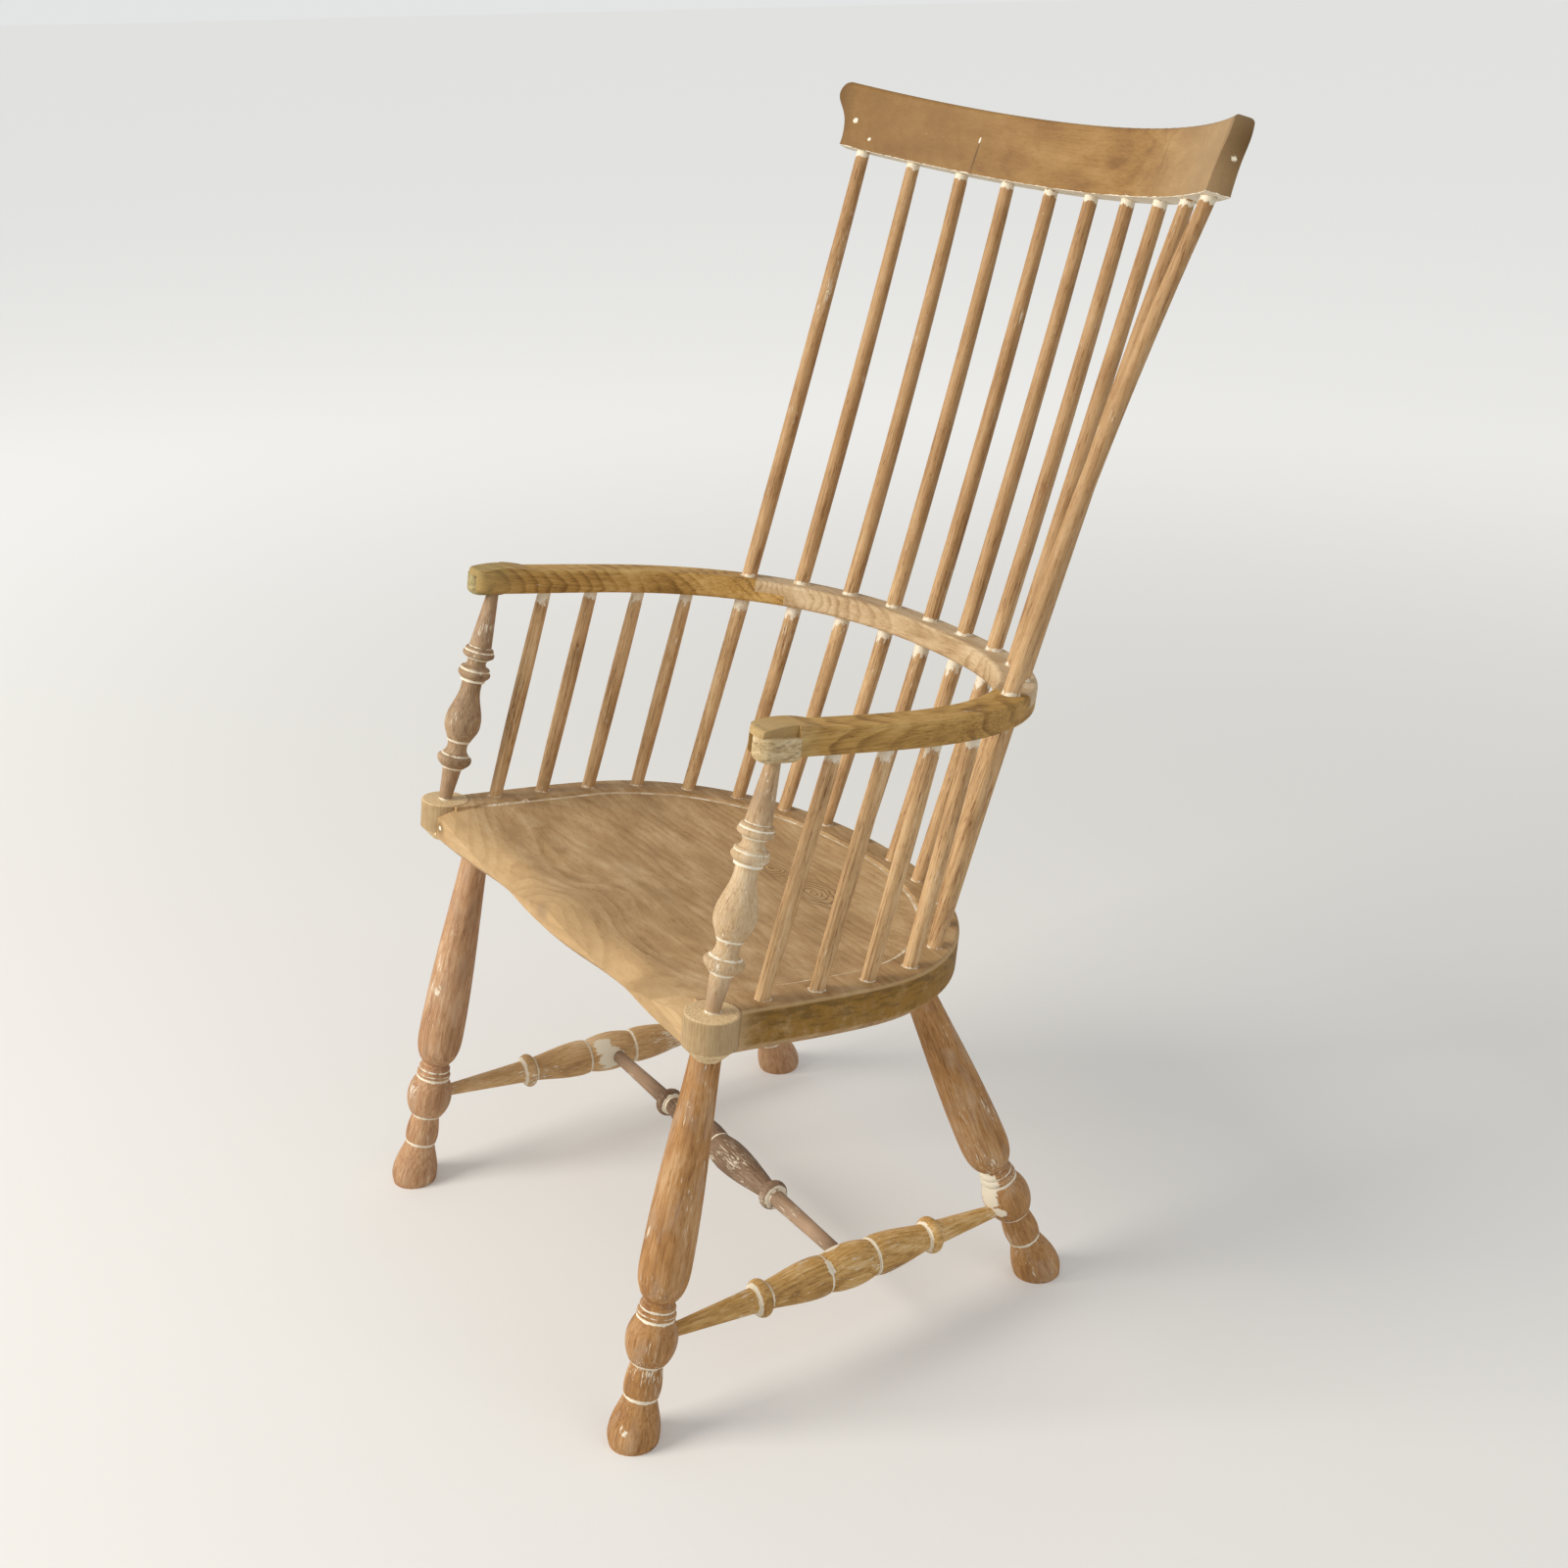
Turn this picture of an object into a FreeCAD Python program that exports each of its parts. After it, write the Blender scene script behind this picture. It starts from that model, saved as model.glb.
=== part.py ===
import FreeCAD, Part
import math
import os

# A comb-back windsor armchair, in millimetres. It stands on its four feet with +Z up.
# The sitter faces -Y, so +X is the sitter's left. Every shape is made in a frame whose
# zero lies below the middle of the seat, and the whole chair is centred at the end.
# Each slanting plane has a place of its own: the seat, the arm rail and the comb.

# Seat plank: a wide D with the spindles on a rim and a dished middle
seat_height = 430.0          # top of the plank at the frame's middle
seat_fall = 6.7              # degrees that the plank slopes down to the back
seat_thick = 45.0
seat_bevel = 9.0             # height and width of the bevel under the edge
seat_soft = 3.5              # rounding of the edge on top
deck_half_width = 286.0      # line of the spindles, at the sides
deck_depth = 222.0           # the same line, from the start of its curve to the back
deck_curve_start = 10.0
deck_curve_power = 2.1       # 2 would be an ellipse, more is squarer
edge_outside = 17.0          # plank's edge beyond the spindle line
gutter_inside = 23.0         # dished part's edge within the spindle line
front_edge = 165.0           # middle of the front edge ahead of the frame's middle
front_hollow = 9.0           # how far the two thigh hollows cut back into that edge
thigh_place = 128.0          # middle of a thigh hollow from the chair's middle
boss_side = 293.5            # round corner under each arm post
boss_front = 148.0
boss_radius = 25.5
boss_side_tall = 31.0        # below this its corner is pared away to a cone
boss_foot_radius = 12.0
boss_soft = 1.5
gutter_width = 5.0
gutter_deep = 2.4
dish_step = 2.0              # drop at the dished part's edge
dish_deep = 13.0             # further drop at its deepest
thigh_deep = 9.0
pommel_rise = 8.0
pommel_width = 40.0
roll_radius = 24.0           # rounding of the front edge

# Legs: the same turning four times, cut off level at the floor
leg_foot_front = (268.0, -231.0)     # where a front leg's centre line meets the floor
leg_foot_back = (262.0, 265.0)
leg_head_front = (254.0, -118.0)     # where it meets the plane of the seat's top
leg_head_back = (205.0, 111.0)
leg_socket_roof = 17.0               # wood left above the leg's end
foot_tall = 49.0
foot_radius = 25.3
foot_full_tall = 9.0                 # height of the foot's widest place
ankle_radius = 16.0
hock_tall = 35.0
hock_radius = 18.3
ball_tall = 48.0
ball_radius = 25.0
collar_tall = 8.0
collar_radius = 19.0
upper_collar_radius = 17.4
leg_neck_radius = 14.0
leg_full_radius = 24.9
leg_full_rise = 34.0                 # from the neck up to the fullest place
leg_head_radius = 12.8

# Stretchers
side_end_radius = 6.8
side_bead_place = 104.0              # from the middle of a side stretcher
side_bead_wide = 14.0
side_bead_radius = 19.3
side_waist_radius = 12.6
side_swell_radius = 20.6
side_ball_long = 58.0
side_ball_radius = 22.6
side_tenon = 14.0                    # depth in the leg
side_drop_back = 14.0                # how far below the back leg's ball centre it enters
cross_end_radius = 7.2
cross_bead_place = 112.0
cross_bead_wide = 14.0
cross_bead_radius = 16.4
cross_waist_radius = 9.6
cross_swell_radius = 18.0
cross_swell_place = 24.0
cross_score_radius = 15.8
cross_tenon = 13.0
side_ball_back = 7.0                 # how far a side stretcher's ball lies behind its middle
cross_back = 3.0                     # and how far the cross stretcher enters behind the ball's
cross_up = 1.5                       # centre, and above it

# Arm rail: three sawn pieces lapped into one U, with a block under each hand
arm_height = 689.0                   # top of the rail at the frame's middle
arm_fall = 8.5                       # degrees that the rail slopes down to the back
arm_thick = 25.0
arm_half_width = 289.0               # its middle line, at the sides
arm_depth = 300.0
arm_curve_start = 20.0
arm_curve_power = 2.4
arm_width = 37.0
arm_round = 4.0
hand_front = 99.0
hand_step_place = 61.0
hand_step = 5.0                      # how far the hand is set in behind the step
hand_nose = 34.0             # length of the curve that rounds the inner side of the nose
hand_rise = 3.0              # how high the hand swells above the rail
hand_sunk = 1.0
hand_swell_back = 30.0       # where the swelling ends
block_inside = 7.5                   # the block's inner face from the rail's middle line
block_proud = 2.0
block_seat = 7.0                     # thickness of hand above the block
block_below = 4.5                    # how far the block hangs below the rail
block_round = 7.0
lap_start = 224.0                    # along the rail from its middle at the back
lap_long = 37.0

# Arm posts
post_pitch = 62.5                    # along the rail from the foremost short spindle
post_end_radius = 6.8
post_top_radius = 6.5
post_base_tall = 37.0
post_base_radius = 10.4
post_disc_tall = 15.0                # lowest ring, with its edge near the top
post_disc_radius = 18.9
post_waist_tall = 16.5               # hollow under the vase
post_waist_radius = 10.9
post_vase_foot_radius = 12.8
post_vase_tall = 62.0
post_vase_radius = 19.6
post_neck_radius = 10.9
post_neck_tall = 6.5
post_band_radius = 13.4              # narrow band on the neck
post_band_tall = 2.4
post_ring_tall = 10.0
post_ring_radius = 17.7
post_lip_radius = 15.4               # small bead on top of a ring
post_lip_tall = 3.5
post_hollow_tall = 9.5
post_hollow_radius = 10.2
post_top_ring_tall = 9.0
post_top_ring_radius = 17.3
post_cone_radius = 12.4
post_tenon = 20.0

# Spindles
long_count = 10
short_count = 4
long_pitch_seat = 60.3               # along the spindle line
long_pitch_arm = 60.6
long_pitch_comb = 64.5
turn_pitch_seat = 60.0               # from the last long spindle to the first short one
turn_pitch_arm = 66.0
short_pitch_seat = 58.0
short_pitch_arm = 57.0
spindle_foot_radius = 7.3
spindle_full_radius = 8.7
spindle_tip_radius = 7.0
short_foot_radius = 6.8
short_full_radius = 8.0
short_tip_radius = 6.8
spindle_seat_tenon = 22.0
spindle_comb_tenon = 24.0
short_arm_tenon = 17.0

# Comb
comb_place_back = 463.5              # middle of its under side
comb_height = 1080.0
comb_rake = 20.0                     # degrees that it leans back
comb_curve = 558.0                   # radius of its middle line, seen along the spindles
comb_tall = 68.5
comb_half_long = 316.0               # along its middle line
ear_reach = 17.0                     # how far the ears flare beyond the lower corners
comb_thick_low = 23.0
comb_thick_top = 18.0
comb_round = 5.0

fit = 0.12                           # running room round every tenon
end_room = 0.3                       # room at the bottom of a socket

V = FreeCAD.Vector
UP = V(0, 0, 1)
ACROSS = V(1, 0, 0)
LEFT, RIGHT = 1, -1                  # the sitter's left is +X
SIDES = {"left": LEFT, "right": RIGHT}


def sloping(back, height, fall):
    """Place of a plane that lies across the chair and drops to the back by `fall` degrees."""
    return FreeCAD.Placement(V(0, back, height), FreeCAD.Rotation(ACROSS, -fall))


seat_place = sloping(0, seat_height, seat_fall)
arm_place = sloping(0, arm_height, arm_fall)
comb_place = sloping(comb_place_back, comb_height, comb_rake)


def placed(shape, place):
    moved = shape.copy()
    moved.Placement = place.multiply(moved.Placement)
    return moved


def curve_through(points, **ends):
    curve = Part.BSplineCurve()
    curve.interpolate(points, **ends)
    return curve


def bend(half_width, depth, start, power, front):
    """A squarish oval round the back, run straight forward on both sides to `front`."""
    points = [V(half_width, -front, 0), V(half_width, (start - front) / 2, 0)]
    steps = 12
    for step in range(steps + 1):
        angle = math.pi * step / steps
        side = math.copysign(abs(math.cos(angle)) ** (2 / power), math.cos(angle))
        back = abs(math.sin(angle)) ** (2 / power)
        points.append(V(half_width * side, start + depth * back, 0))
    points += [V(-p.x, p.y, 0) for p in reversed(points[:2])]
    return curve_through(points)


def deck_bend(offset, front=front_edge):
    """The spindle line on the seat, or a line `offset` outside it."""
    return bend(deck_half_width + offset, deck_depth + offset, deck_curve_start,
                deck_curve_power, front)


def arm_bend(offset, front=hand_front):
    """The middle line of the arm rail, or a line `offset` outside it."""
    return bend(arm_half_width + offset, arm_depth + offset, arm_curve_start,
                arm_curve_power, front)


def along(curve, reach):
    """Point and direction `reach` along a bend, counted from its middle to the left."""
    here = curve.parameterAtDistance(curve.length() / 2 - reach, curve.FirstParameter)
    return curve.value(here), V(*curve.tangent(here)[0]) * -1


class Outline:
    """Half outline of a turned piece, drawn from its lower end up."""

    def __init__(self, radius, height):
        self.tip = V(radius, 0, height)
        self.foot = self.tip
        self.edges = []

    def taper(self, radius, rise):
        """Straight to a new radius; with no rise it is a shoulder."""
        there = V(radius, 0, self.tip.z + rise)
        self.edges.append(Part.makeLine(self.tip, there))
        self.tip = there
        return self

    def bead(self, radius, rise, full):
        """A round bead or ball, fullest half way."""
        there = V(radius, 0, self.tip.z + rise)
        middle = V(full, 0, self.tip.z + rise / 2)
        self.edges.append(Part.Arc(self.tip, middle, there).toShape())
        self.tip = there
        return self

    def swell(self, radius, rise, full, full_rise, necked=False):
        """A vase: a curve that is fullest, and runs straight up, at `full_rise`.

        A necked one runs straight up again at its end.
        """
        there = V(radius, 0, self.tip.z + rise)
        middle = V(full, 0, self.tip.z + full_rise)
        for low, high in ((self.tip, middle), (middle, there)):
            slope = (high - low).normalize()
            ends = {"InitialTangent": slope if low is self.tip else UP,
                    "FinalTangent": UP if low is self.tip or necked else slope}
            self.edges.append(curve_through([low, high], **ends).toShape())
        self.tip = there
        return self

    def solid(self):
        """The outline closed on its centre line and spun round it."""
        below = V(0, 0, self.foot.z)
        above = V(0, 0, self.tip.z)
        closing = [Part.makeLine(self.tip, above), Part.makeLine(above, below),
                   Part.makeLine(below, self.foot)]
        face = Part.Face(Part.Wire(self.edges + closing))
        return face.revolve(V(), UP, 360)


def standing(shape, foot, tip):
    """A turned piece stood on `foot` with its centre line towards `tip`."""
    turn = FreeCAD.Rotation(UP, tip - foot)
    return placed(shape, FreeCAD.Placement(foot, turn))


def socket(radius, tip_radius, foot, tip, overshoot=0.0):
    """Hole for a round end, running from `foot` in to `tip`, with room all round."""
    way = tip - foot
    long = way.Length + end_room + overshoot
    start = foot - V(way).normalize() * overshoot
    cone = Outline(radius + fit, 0).taper(tip_radius + fit, long).solid()
    return standing(cone, start, tip)


def rod(points, radii, room=0.0):
    """A spindle: round sections, square to a smooth line through `points`."""
    line = curve_through(points)
    first, last = line.FirstParameter, line.LastParameter
    foot, full, tip = radii
    stations = 8
    rings = []
    for station in range(stations + 1):
        share = station / stations
        here = first + (last - first) * share
        end = foot + (tip - foot) * share
        radius = end + (full - max(foot, tip)) * math.sin(math.pi * share) + room
        halves = [Part.makeCircle(radius, V(), UP, start, start + 180) for start in (0, 180)]
        ring = Part.Wire(halves)
        heading = FreeCAD.Rotation(UP, V(*line.tangent(here)[0]))
        rings.append(placed(ring, FreeCAD.Placement(line.value(here), heading)))
    return Part.makeLoft(rings, True, False)


# Places that several pieces share

def seat_point(x, back, up=0.0):
    return seat_place.multVec(V(x, back, up))


def arm_point(x, back, up=0.0):
    return arm_place.multVec(V(x, back, up))


def leg_line(side, end):
    """Foot and head of a leg's centre line; the head lies in the plane of the seat's top."""
    foot, head = {"front": (leg_foot_front, leg_head_front),
                  "back": (leg_foot_back, leg_head_back)}[end]
    return V(side * foot[0], foot[1], 0), seat_point(side * head[0], head[1])


def leg_ball_middle(side, end, lower=0.0):
    foot, head = leg_line(side, end)
    rise = foot_tall + hock_tall + ball_tall / 2 - lower
    return foot + (head - foot).normalize() * rise


def side_stretcher_line(side):
    return (leg_ball_middle(side, "front"),
            leg_ball_middle(side, "back", side_drop_back))


def side_ball_middle(side):
    start, far = side_stretcher_line(side)
    way = (far - start).normalize()
    return (start + far) * 0.5 + way * side_ball_back


def long_spindle_line(number):
    """Seat, rail and comb points of a long spindle, numbered from the sitter's left."""
    place = (long_count - 1) / 2 - number
    on_seat = along(deck_bend(0), place * long_pitch_seat)[0]
    on_arm = along(arm_bend(0), place * long_pitch_arm)[0]
    turn = place * long_pitch_comb / comb_curve
    on_comb = V(comb_curve * math.sin(turn), comb_curve * (math.cos(turn) - 1), 0)
    low = seat_point(on_seat.x, on_seat.y)
    middle = arm_point(on_arm.x, on_arm.y, -arm_thick / 2)
    high = comb_place.multVec(on_comb)
    foot = low + (low - middle).normalize() * spindle_seat_tenon
    tip = high + (high - middle).normalize() * spindle_comb_tenon
    return [foot, low, middle, high, tip]


def short_spindle_line(side, number):
    """Foot and tip of a short spindle, numbered from the front."""
    steps = short_count - 1 - number
    last_long = (long_count - 1) / 2
    seat_reach = last_long * long_pitch_seat + turn_pitch_seat + steps * short_pitch_seat
    arm_reach = last_long * long_pitch_arm + turn_pitch_arm + steps * short_pitch_arm
    on_seat = along(deck_bend(0), seat_reach)[0]
    on_arm = along(arm_bend(0), arm_reach)[0]
    low = seat_point(side * on_seat.x, on_seat.y)
    high = arm_point(side * on_arm.x, on_arm.y, -arm_thick)
    way = (high - low).normalize()
    return low - way * spindle_seat_tenon, high + way * short_arm_tenon


def post_line(side):
    """Foot on the seat's corner and head under the hand."""
    last_long = (long_count - 1) / 2
    reach = (last_long * long_pitch_arm + turn_pitch_arm
             + (short_count - 1) * short_pitch_arm + post_pitch)
    on_arm = along(arm_bend(0), reach)[0]
    head = arm_point(side * on_arm.x, on_arm.y, -arm_thick - block_below)
    return seat_point(side * boss_side, -boss_front), head


# Turned pieces

def leg_outline():
    below = 10.0                             # enough to reach the floor on the low side
    out = Outline(foot_radius * 0.78, -below)
    out.swell(ankle_radius, foot_tall + below, foot_radius, below + foot_full_tall)
    out.taper(ankle_radius + 1.2, 0.8)
    out.swell(ankle_radius - 0.8, hock_tall - 0.8, hock_radius, hock_tall * 0.28)
    out.taper(ankle_radius + 1.2, 0.6)
    out.bead(upper_collar_radius, ball_tall - 0.6, ball_radius)
    out.bead(upper_collar_radius - 1.0, collar_tall, collar_radius)
    out.bead(leg_neck_radius + 1.0, collar_tall - 1, upper_collar_radius)
    out.taper(leg_neck_radius, 2.5)
    return out


def leg(side, end):
    foot, head = leg_line(side, end)
    out = leg_outline()
    top = (head - foot).Length - leg_socket_roof
    fullest = V(leg_full_radius, 0, out.tip.z + leg_full_rise)
    neck = out.tip
    out.edges.append(curve_through([neck, fullest], InitialTangent=V(0.75, 0, 0.6),
                                   FinalTangent=UP).toShape())
    tip = V(leg_head_radius, 0, top)
    out.edges.append(curve_through([fullest, tip], InitialTangent=UP,
                                   FinalTangent=V(-0.025, 0, 1)).toShape())
    out.tip = tip
    whole = standing(out.solid(), foot, head)
    under_floor = Part.makeBox(400, 400, 100, V(foot.x - 200, foot.y - 200, -100))
    whole = whole.cut(under_floor)
    start, far = side_stretcher_line(side)
    if end == "back":
        start, far = far, start
    way = (far - start).normalize()
    tenon_tip = start + way * (ball_radius - side_tenon)
    hole = socket(side_end_radius, side_end_radius, start + way * ball_radius * 1.3,
                  tenon_tip)
    return whole.cut(hole)


def leg_socket(side, end):
    """The hole in the seat that a leg's upper end fills."""
    foot, head = leg_line(side, end)
    way = (head - foot).normalize()
    deep = seat_thick + 12
    outer = leg_head_radius + 0.025 * (deep - leg_socket_roof)
    return socket(outer, leg_head_radius, head - way * deep, head - way * leg_socket_roof)


def side_stretcher(side):
    start, far = side_stretcher_line(side)
    middle = side_ball_middle(side)
    way = (far - start).normalize()
    inset = ball_radius - side_tenon
    ahead = (middle - start).Length - inset
    behind = (far - middle).Length - inset
    beads = side_bead_place + side_bead_wide / 2
    flank = side_bead_place - side_bead_wide / 2 - 2.0 - side_ball_long / 2
    out = Outline(side_end_radius, -ahead)
    out.taper(side_end_radius, side_tenon)
    out.taper(side_waist_radius, ahead - side_tenon - beads)
    out.bead(side_waist_radius + 0.6, side_bead_wide, side_bead_radius)
    out.taper(side_waist_radius + 1.2, 2.0)
    out.swell(side_swell_radius - 1.0, flank, side_swell_radius, flank * 0.86)
    out.taper(side_swell_radius - 2.4, 0)
    out.bead(side_swell_radius - 2.4, side_ball_long, side_ball_radius)
    out.taper(side_swell_radius - 1.0, 0)
    out.swell(side_waist_radius + 1.2, flank, side_swell_radius, flank * 0.14)
    out.taper(side_waist_radius + 0.6, 2.0)
    out.bead(side_waist_radius, side_bead_wide, side_bead_radius)
    out.taper(side_end_radius, behind - side_tenon - beads)
    out.taper(side_end_radius, side_tenon)
    whole = standing(out.solid(), middle, middle + way)
    inward = V(-side, 0, 0)
    joint = middle + V(0, cross_back, cross_up)
    hole = socket(cross_end_radius, cross_end_radius,
                  joint + inward * side_ball_radius * 1.3,
                  joint + inward * (side_ball_radius - cross_tenon))
    return whole.cut(hole)


def cross_stretcher():
    left = side_ball_middle(LEFT) + V(0, cross_back, cross_up)
    half = left.x - side_ball_radius + cross_tenon
    bead = cross_bead_place
    swell_long = bead - cross_bead_wide / 2
    end_long = half - cross_tenon - bead - cross_bead_wide / 2
    out = Outline(cross_end_radius, -half)
    out.taper(cross_end_radius, cross_tenon)
    out.taper(cross_waist_radius - 0.8, end_long)
    out.bead(cross_waist_radius, cross_bead_wide, cross_bead_radius)
    out.swell(cross_score_radius, swell_long, cross_swell_radius,
              swell_long - cross_swell_place)
    out.swell(cross_waist_radius, swell_long, cross_swell_radius, cross_swell_place)
    out.bead(cross_waist_radius - 0.8, cross_bead_wide, cross_bead_radius)
    out.taper(cross_end_radius, end_long)
    out.taper(cross_end_radius, cross_tenon)
    middle = V(0, left.y, left.z)
    return standing(out.solid(), middle, middle + ACROSS)


def arm_post(side):
    foot, head = post_line(side)
    tall = (head - foot).Length
    out = Outline(post_end_radius, -post_tenon)
    out.taper(post_end_radius, post_tenon)
    out.taper(post_base_radius, post_base_tall)
    out.taper(post_base_radius + 1.6, 0)
    out.swell(post_lip_radius, post_disc_tall, post_disc_radius, post_disc_tall * 0.7)
    out.bead(post_vase_foot_radius, post_waist_tall, post_waist_radius)
    out.swell(post_neck_radius, post_vase_tall, post_vase_radius,
              post_vase_tall * 0.32, necked=True)
    out.taper(post_neck_radius, post_neck_tall)
    out.taper(post_band_radius, 0)
    out.taper(post_band_radius, post_band_tall)
    out.swell(post_lip_radius, post_ring_tall, post_ring_radius, post_ring_tall * 0.65)
    out.bead(post_band_radius, post_lip_tall, post_lip_radius + 0.6)
    out.bead(post_cone_radius, post_hollow_tall, post_hollow_radius)
    out.swell(post_lip_radius, post_top_ring_tall, post_top_ring_radius,
              post_top_ring_tall * 0.6)
    out.bead(post_cone_radius, post_lip_tall, post_lip_radius)
    out.taper(post_top_radius, tall - out.tip.z)
    out.taper(post_top_radius, post_tenon)
    return standing(out.solid(), foot, head)


# Seat

def thigh(x):
    """How much a place lies in one of the two thigh hollows, from 0 to 1."""
    return math.exp(-((abs(x) - thigh_place) / 70) ** 2)


def front_reach(x):
    """Distance of the front edge ahead of the frame's middle."""
    return front_edge - front_hollow * thigh(x)


def saddle_height(x, back):
    """Height of the dished surface above the plank's flat top, at a place on the seat."""
    half = deck_half_width - gutter_inside
    deep = deck_depth - gutter_inside
    sideways = abs(x) / half
    backwards = max(back - deck_curve_start, 0) / deep
    out = (sideways ** deck_curve_power + backwards ** deck_curve_power)
    out = min(out ** (1 / deck_curve_power), 1.2)
    bowl = dish_deep * (1 - out ** 4)
    forward = min(max((60 - back) / (60 + front_edge), 0), 1) ** 1.5
    pommel = math.exp(-(x / pommel_width) ** 2)
    bowl += forward * (thigh_deep * thigh(x) - pommel_rise * pommel)
    into_roll = min(max(back + front_reach(x), 0), roll_radius)
    roll = roll_radius - math.sqrt(roll_radius ** 2 - (roll_radius - into_roll) ** 2)
    return -dish_step - max(bowl, 0) - roll * 0.8


def front_line(ends, inset):
    """Wavy front edge from one end of the plank's bend to the other."""
    steps = 12
    points = [ends[0]]
    for step in range(1, steps):
        x = ends[0].x * (1 - 2 * step / steps)
        points.append(V(x, inset - front_reach(x), 0))
    return curve_through(points + [ends[1]])


def plank_wire(inset, up):
    """Outline of the plank `inset` within its widest line, at the height `up`."""
    back = deck_bend(edge_outside - inset, front_edge - inset)
    ends = [back.value(back.FirstParameter), back.value(back.LastParameter)]
    wire = Part.Wire([back.toShape(), front_line(ends, inset).toShape()])
    wire.translate(UP * up)
    return wire


def saddle_cutter():
    """What the maker scoops out of the plank: all that is above the dished surface."""
    across, deep = 20, 18
    front = -front_edge - 40
    span = deck_depth + deck_curve_start - front
    grid = []
    for column in range(across + 1):
        x = deck_half_width * (2 * column / across - 1)
        grid.append([V(x, front + span * row / deep, 0) for row in range(deep + 1)])
    grid = [[V(p.x, p.y, saddle_height(p.x, p.y)) for p in row] for row in grid]
    surface = Part.BSplineSurface()
    surface.interpolate(grid)
    above = surface.toShape().extrude(UP * seat_thick)
    inner = deck_bend(-gutter_inside, front_edge + 30)
    closing = Part.makeLine(inner.value(inner.LastParameter),
                            inner.value(inner.FirstParameter))
    face = Part.Face(Part.Wire([inner.toShape(), closing]))
    face.translate(UP * -seat_thick)
    inside = face.extrude(UP * 2 * seat_thick)
    for side in SIDES.values():
        nose = Part.makeBox(40, 100, 2 * seat_thick, V(boss_side - 40, -boss_front - 100,
                                                       -seat_thick))
        inside = inside.fuse(nose if side == LEFT else nose.mirror(V(), ACROSS))
    for side in SIDES.values():
        inside = inside.cut(boss(side))
    return above.common(inside)


def gutter_cutter():
    """A round groove along the edge of the dished part."""
    path = deck_bend(-gutter_inside + gutter_width / 6, boss_front - boss_radius)
    start = path.value(path.FirstParameter)
    heading = V(*path.tangent(path.FirstParameter)[0])
    radius = (gutter_width ** 2 / 4 + gutter_deep ** 2) / (2 * gutter_deep)
    ring = Part.Wire(Part.makeCircle(radius, start + UP * (radius - gutter_deep), heading))
    return Part.Wire(path.toShape()).makePipeShell([ring], True, True)


def boss(side):
    """Round corner of the seat that carries an arm post, pared to a cone below."""
    middle = V(side * boss_side, -boss_front, 0)
    out = Outline(boss_foot_radius, -seat_thick)
    out.taper(boss_radius, seat_thick - boss_side_tall)
    out.taper(boss_radius, boss_side_tall - boss_soft)
    out.bead(boss_radius - boss_soft, boss_soft, boss_radius - boss_soft * 0.3)
    return placed(out.solid(), FreeCAD.Placement(middle, FreeCAD.Rotation()))


def corner_waste(side):
    """The square corner of the plank that the boss takes the place of."""
    low = V(boss_side, -boss_front - 100, -2 * seat_thick)
    waste = Part.makeBox(100, 100, 3 * seat_thick, low)
    return waste if side == LEFT else waste.mirror(V(), ACROSS)


def seat():
    upper = Part.Face(plank_wire(0, seat_bevel - seat_thick))
    plank = upper.extrude(UP * (seat_thick - seat_bevel))
    rim = [e for e in plank.Edges if e.BoundBox.ZMin > -0.01 and e.Length > 3 * deck_depth]
    plank = plank.makeFillet(seat_soft, rim)
    bevel = Part.makeLoft([plank_wire(seat_bevel, -seat_thick),
                           plank_wire(0, seat_bevel - seat_thick)], True, True)
    plank = plank.fuse(bevel)
    for side in SIDES.values():
        plank = plank.cut(corner_waste(side))
    plank = plank.cut(saddle_cutter()).cut(gutter_cutter())
    for side in SIDES.values():
        plank = plank.fuse(boss(side))
    plank = placed(plank, seat_place)
    holes = []
    for side in SIDES.values():
        holes += [leg_socket(side, "front"), leg_socket(side, "back")]
        foot, head = post_line(side)
        way = (head - foot).normalize()
        holes.append(socket(post_end_radius, post_end_radius, foot, foot - way * post_tenon,
                            overshoot=10))
        for number in range(short_count):
            holes.append(short_spindle(side, number, fit, end_room))
    for number in range(long_count):
        holes.append(long_spindle(number, fit, end_room))
    return plank.cut(holes)


# Spindles

def long_spindle(number, room=0.0, longer=0.0):
    foot, low, middle, high, tip = long_spindle_line(number)
    foot = foot + (foot - low).normalize() * longer
    tip = tip + (tip - high).normalize() * longer
    radii = (spindle_foot_radius, spindle_full_radius, spindle_tip_radius)
    return rod([foot, middle, tip], radii, room)


def short_spindle(side, number, room=0.0, longer=0.0):
    foot, tip = short_spindle_line(side, number)
    way = (tip - foot).normalize() * longer
    radii = (short_foot_radius, short_full_radius, short_tip_radius)
    return rod([foot - way, (foot + tip) * 0.5, tip + way], radii, room)


# Arm rail

def rail_blank():
    """The whole U before it is parted, with a rounded nose on each hand."""
    half = arm_width / 2
    outer = arm_bend(half, hand_front - half)
    inner = arm_bend(-half, hand_front - hand_nose)
    edges = [outer.toShape(), inner.toShape()]
    for side in SIDES.values():
        one = V(side * (arm_half_width + half), half - hand_front, 0)
        two = V(side * (arm_half_width - half), hand_nose - hand_front, 0)
        tip = V(side * arm_half_width, -hand_front, 0)
        forward = V(0, -1, 0)
        edges.append(curve_through([one, tip, two], InitialTangent=forward,
                                   FinalTangent=forward * -1).toShape())
    face = Part.Face(Part.Wire(Part.__sortEdges__(edges)))
    face.translate(UP * -arm_thick)
    blank = face.extrude(UP * arm_thick)
    rims = [e for e in blank.Edges if e.BoundBox.ZLength < 0.01]
    blank = blank.makeFillet(arm_round, rims)
    for side in SIDES.values():
        blank = blank.fuse(hand_swelling(side, face))
    return blank.removeSplitter()


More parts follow.
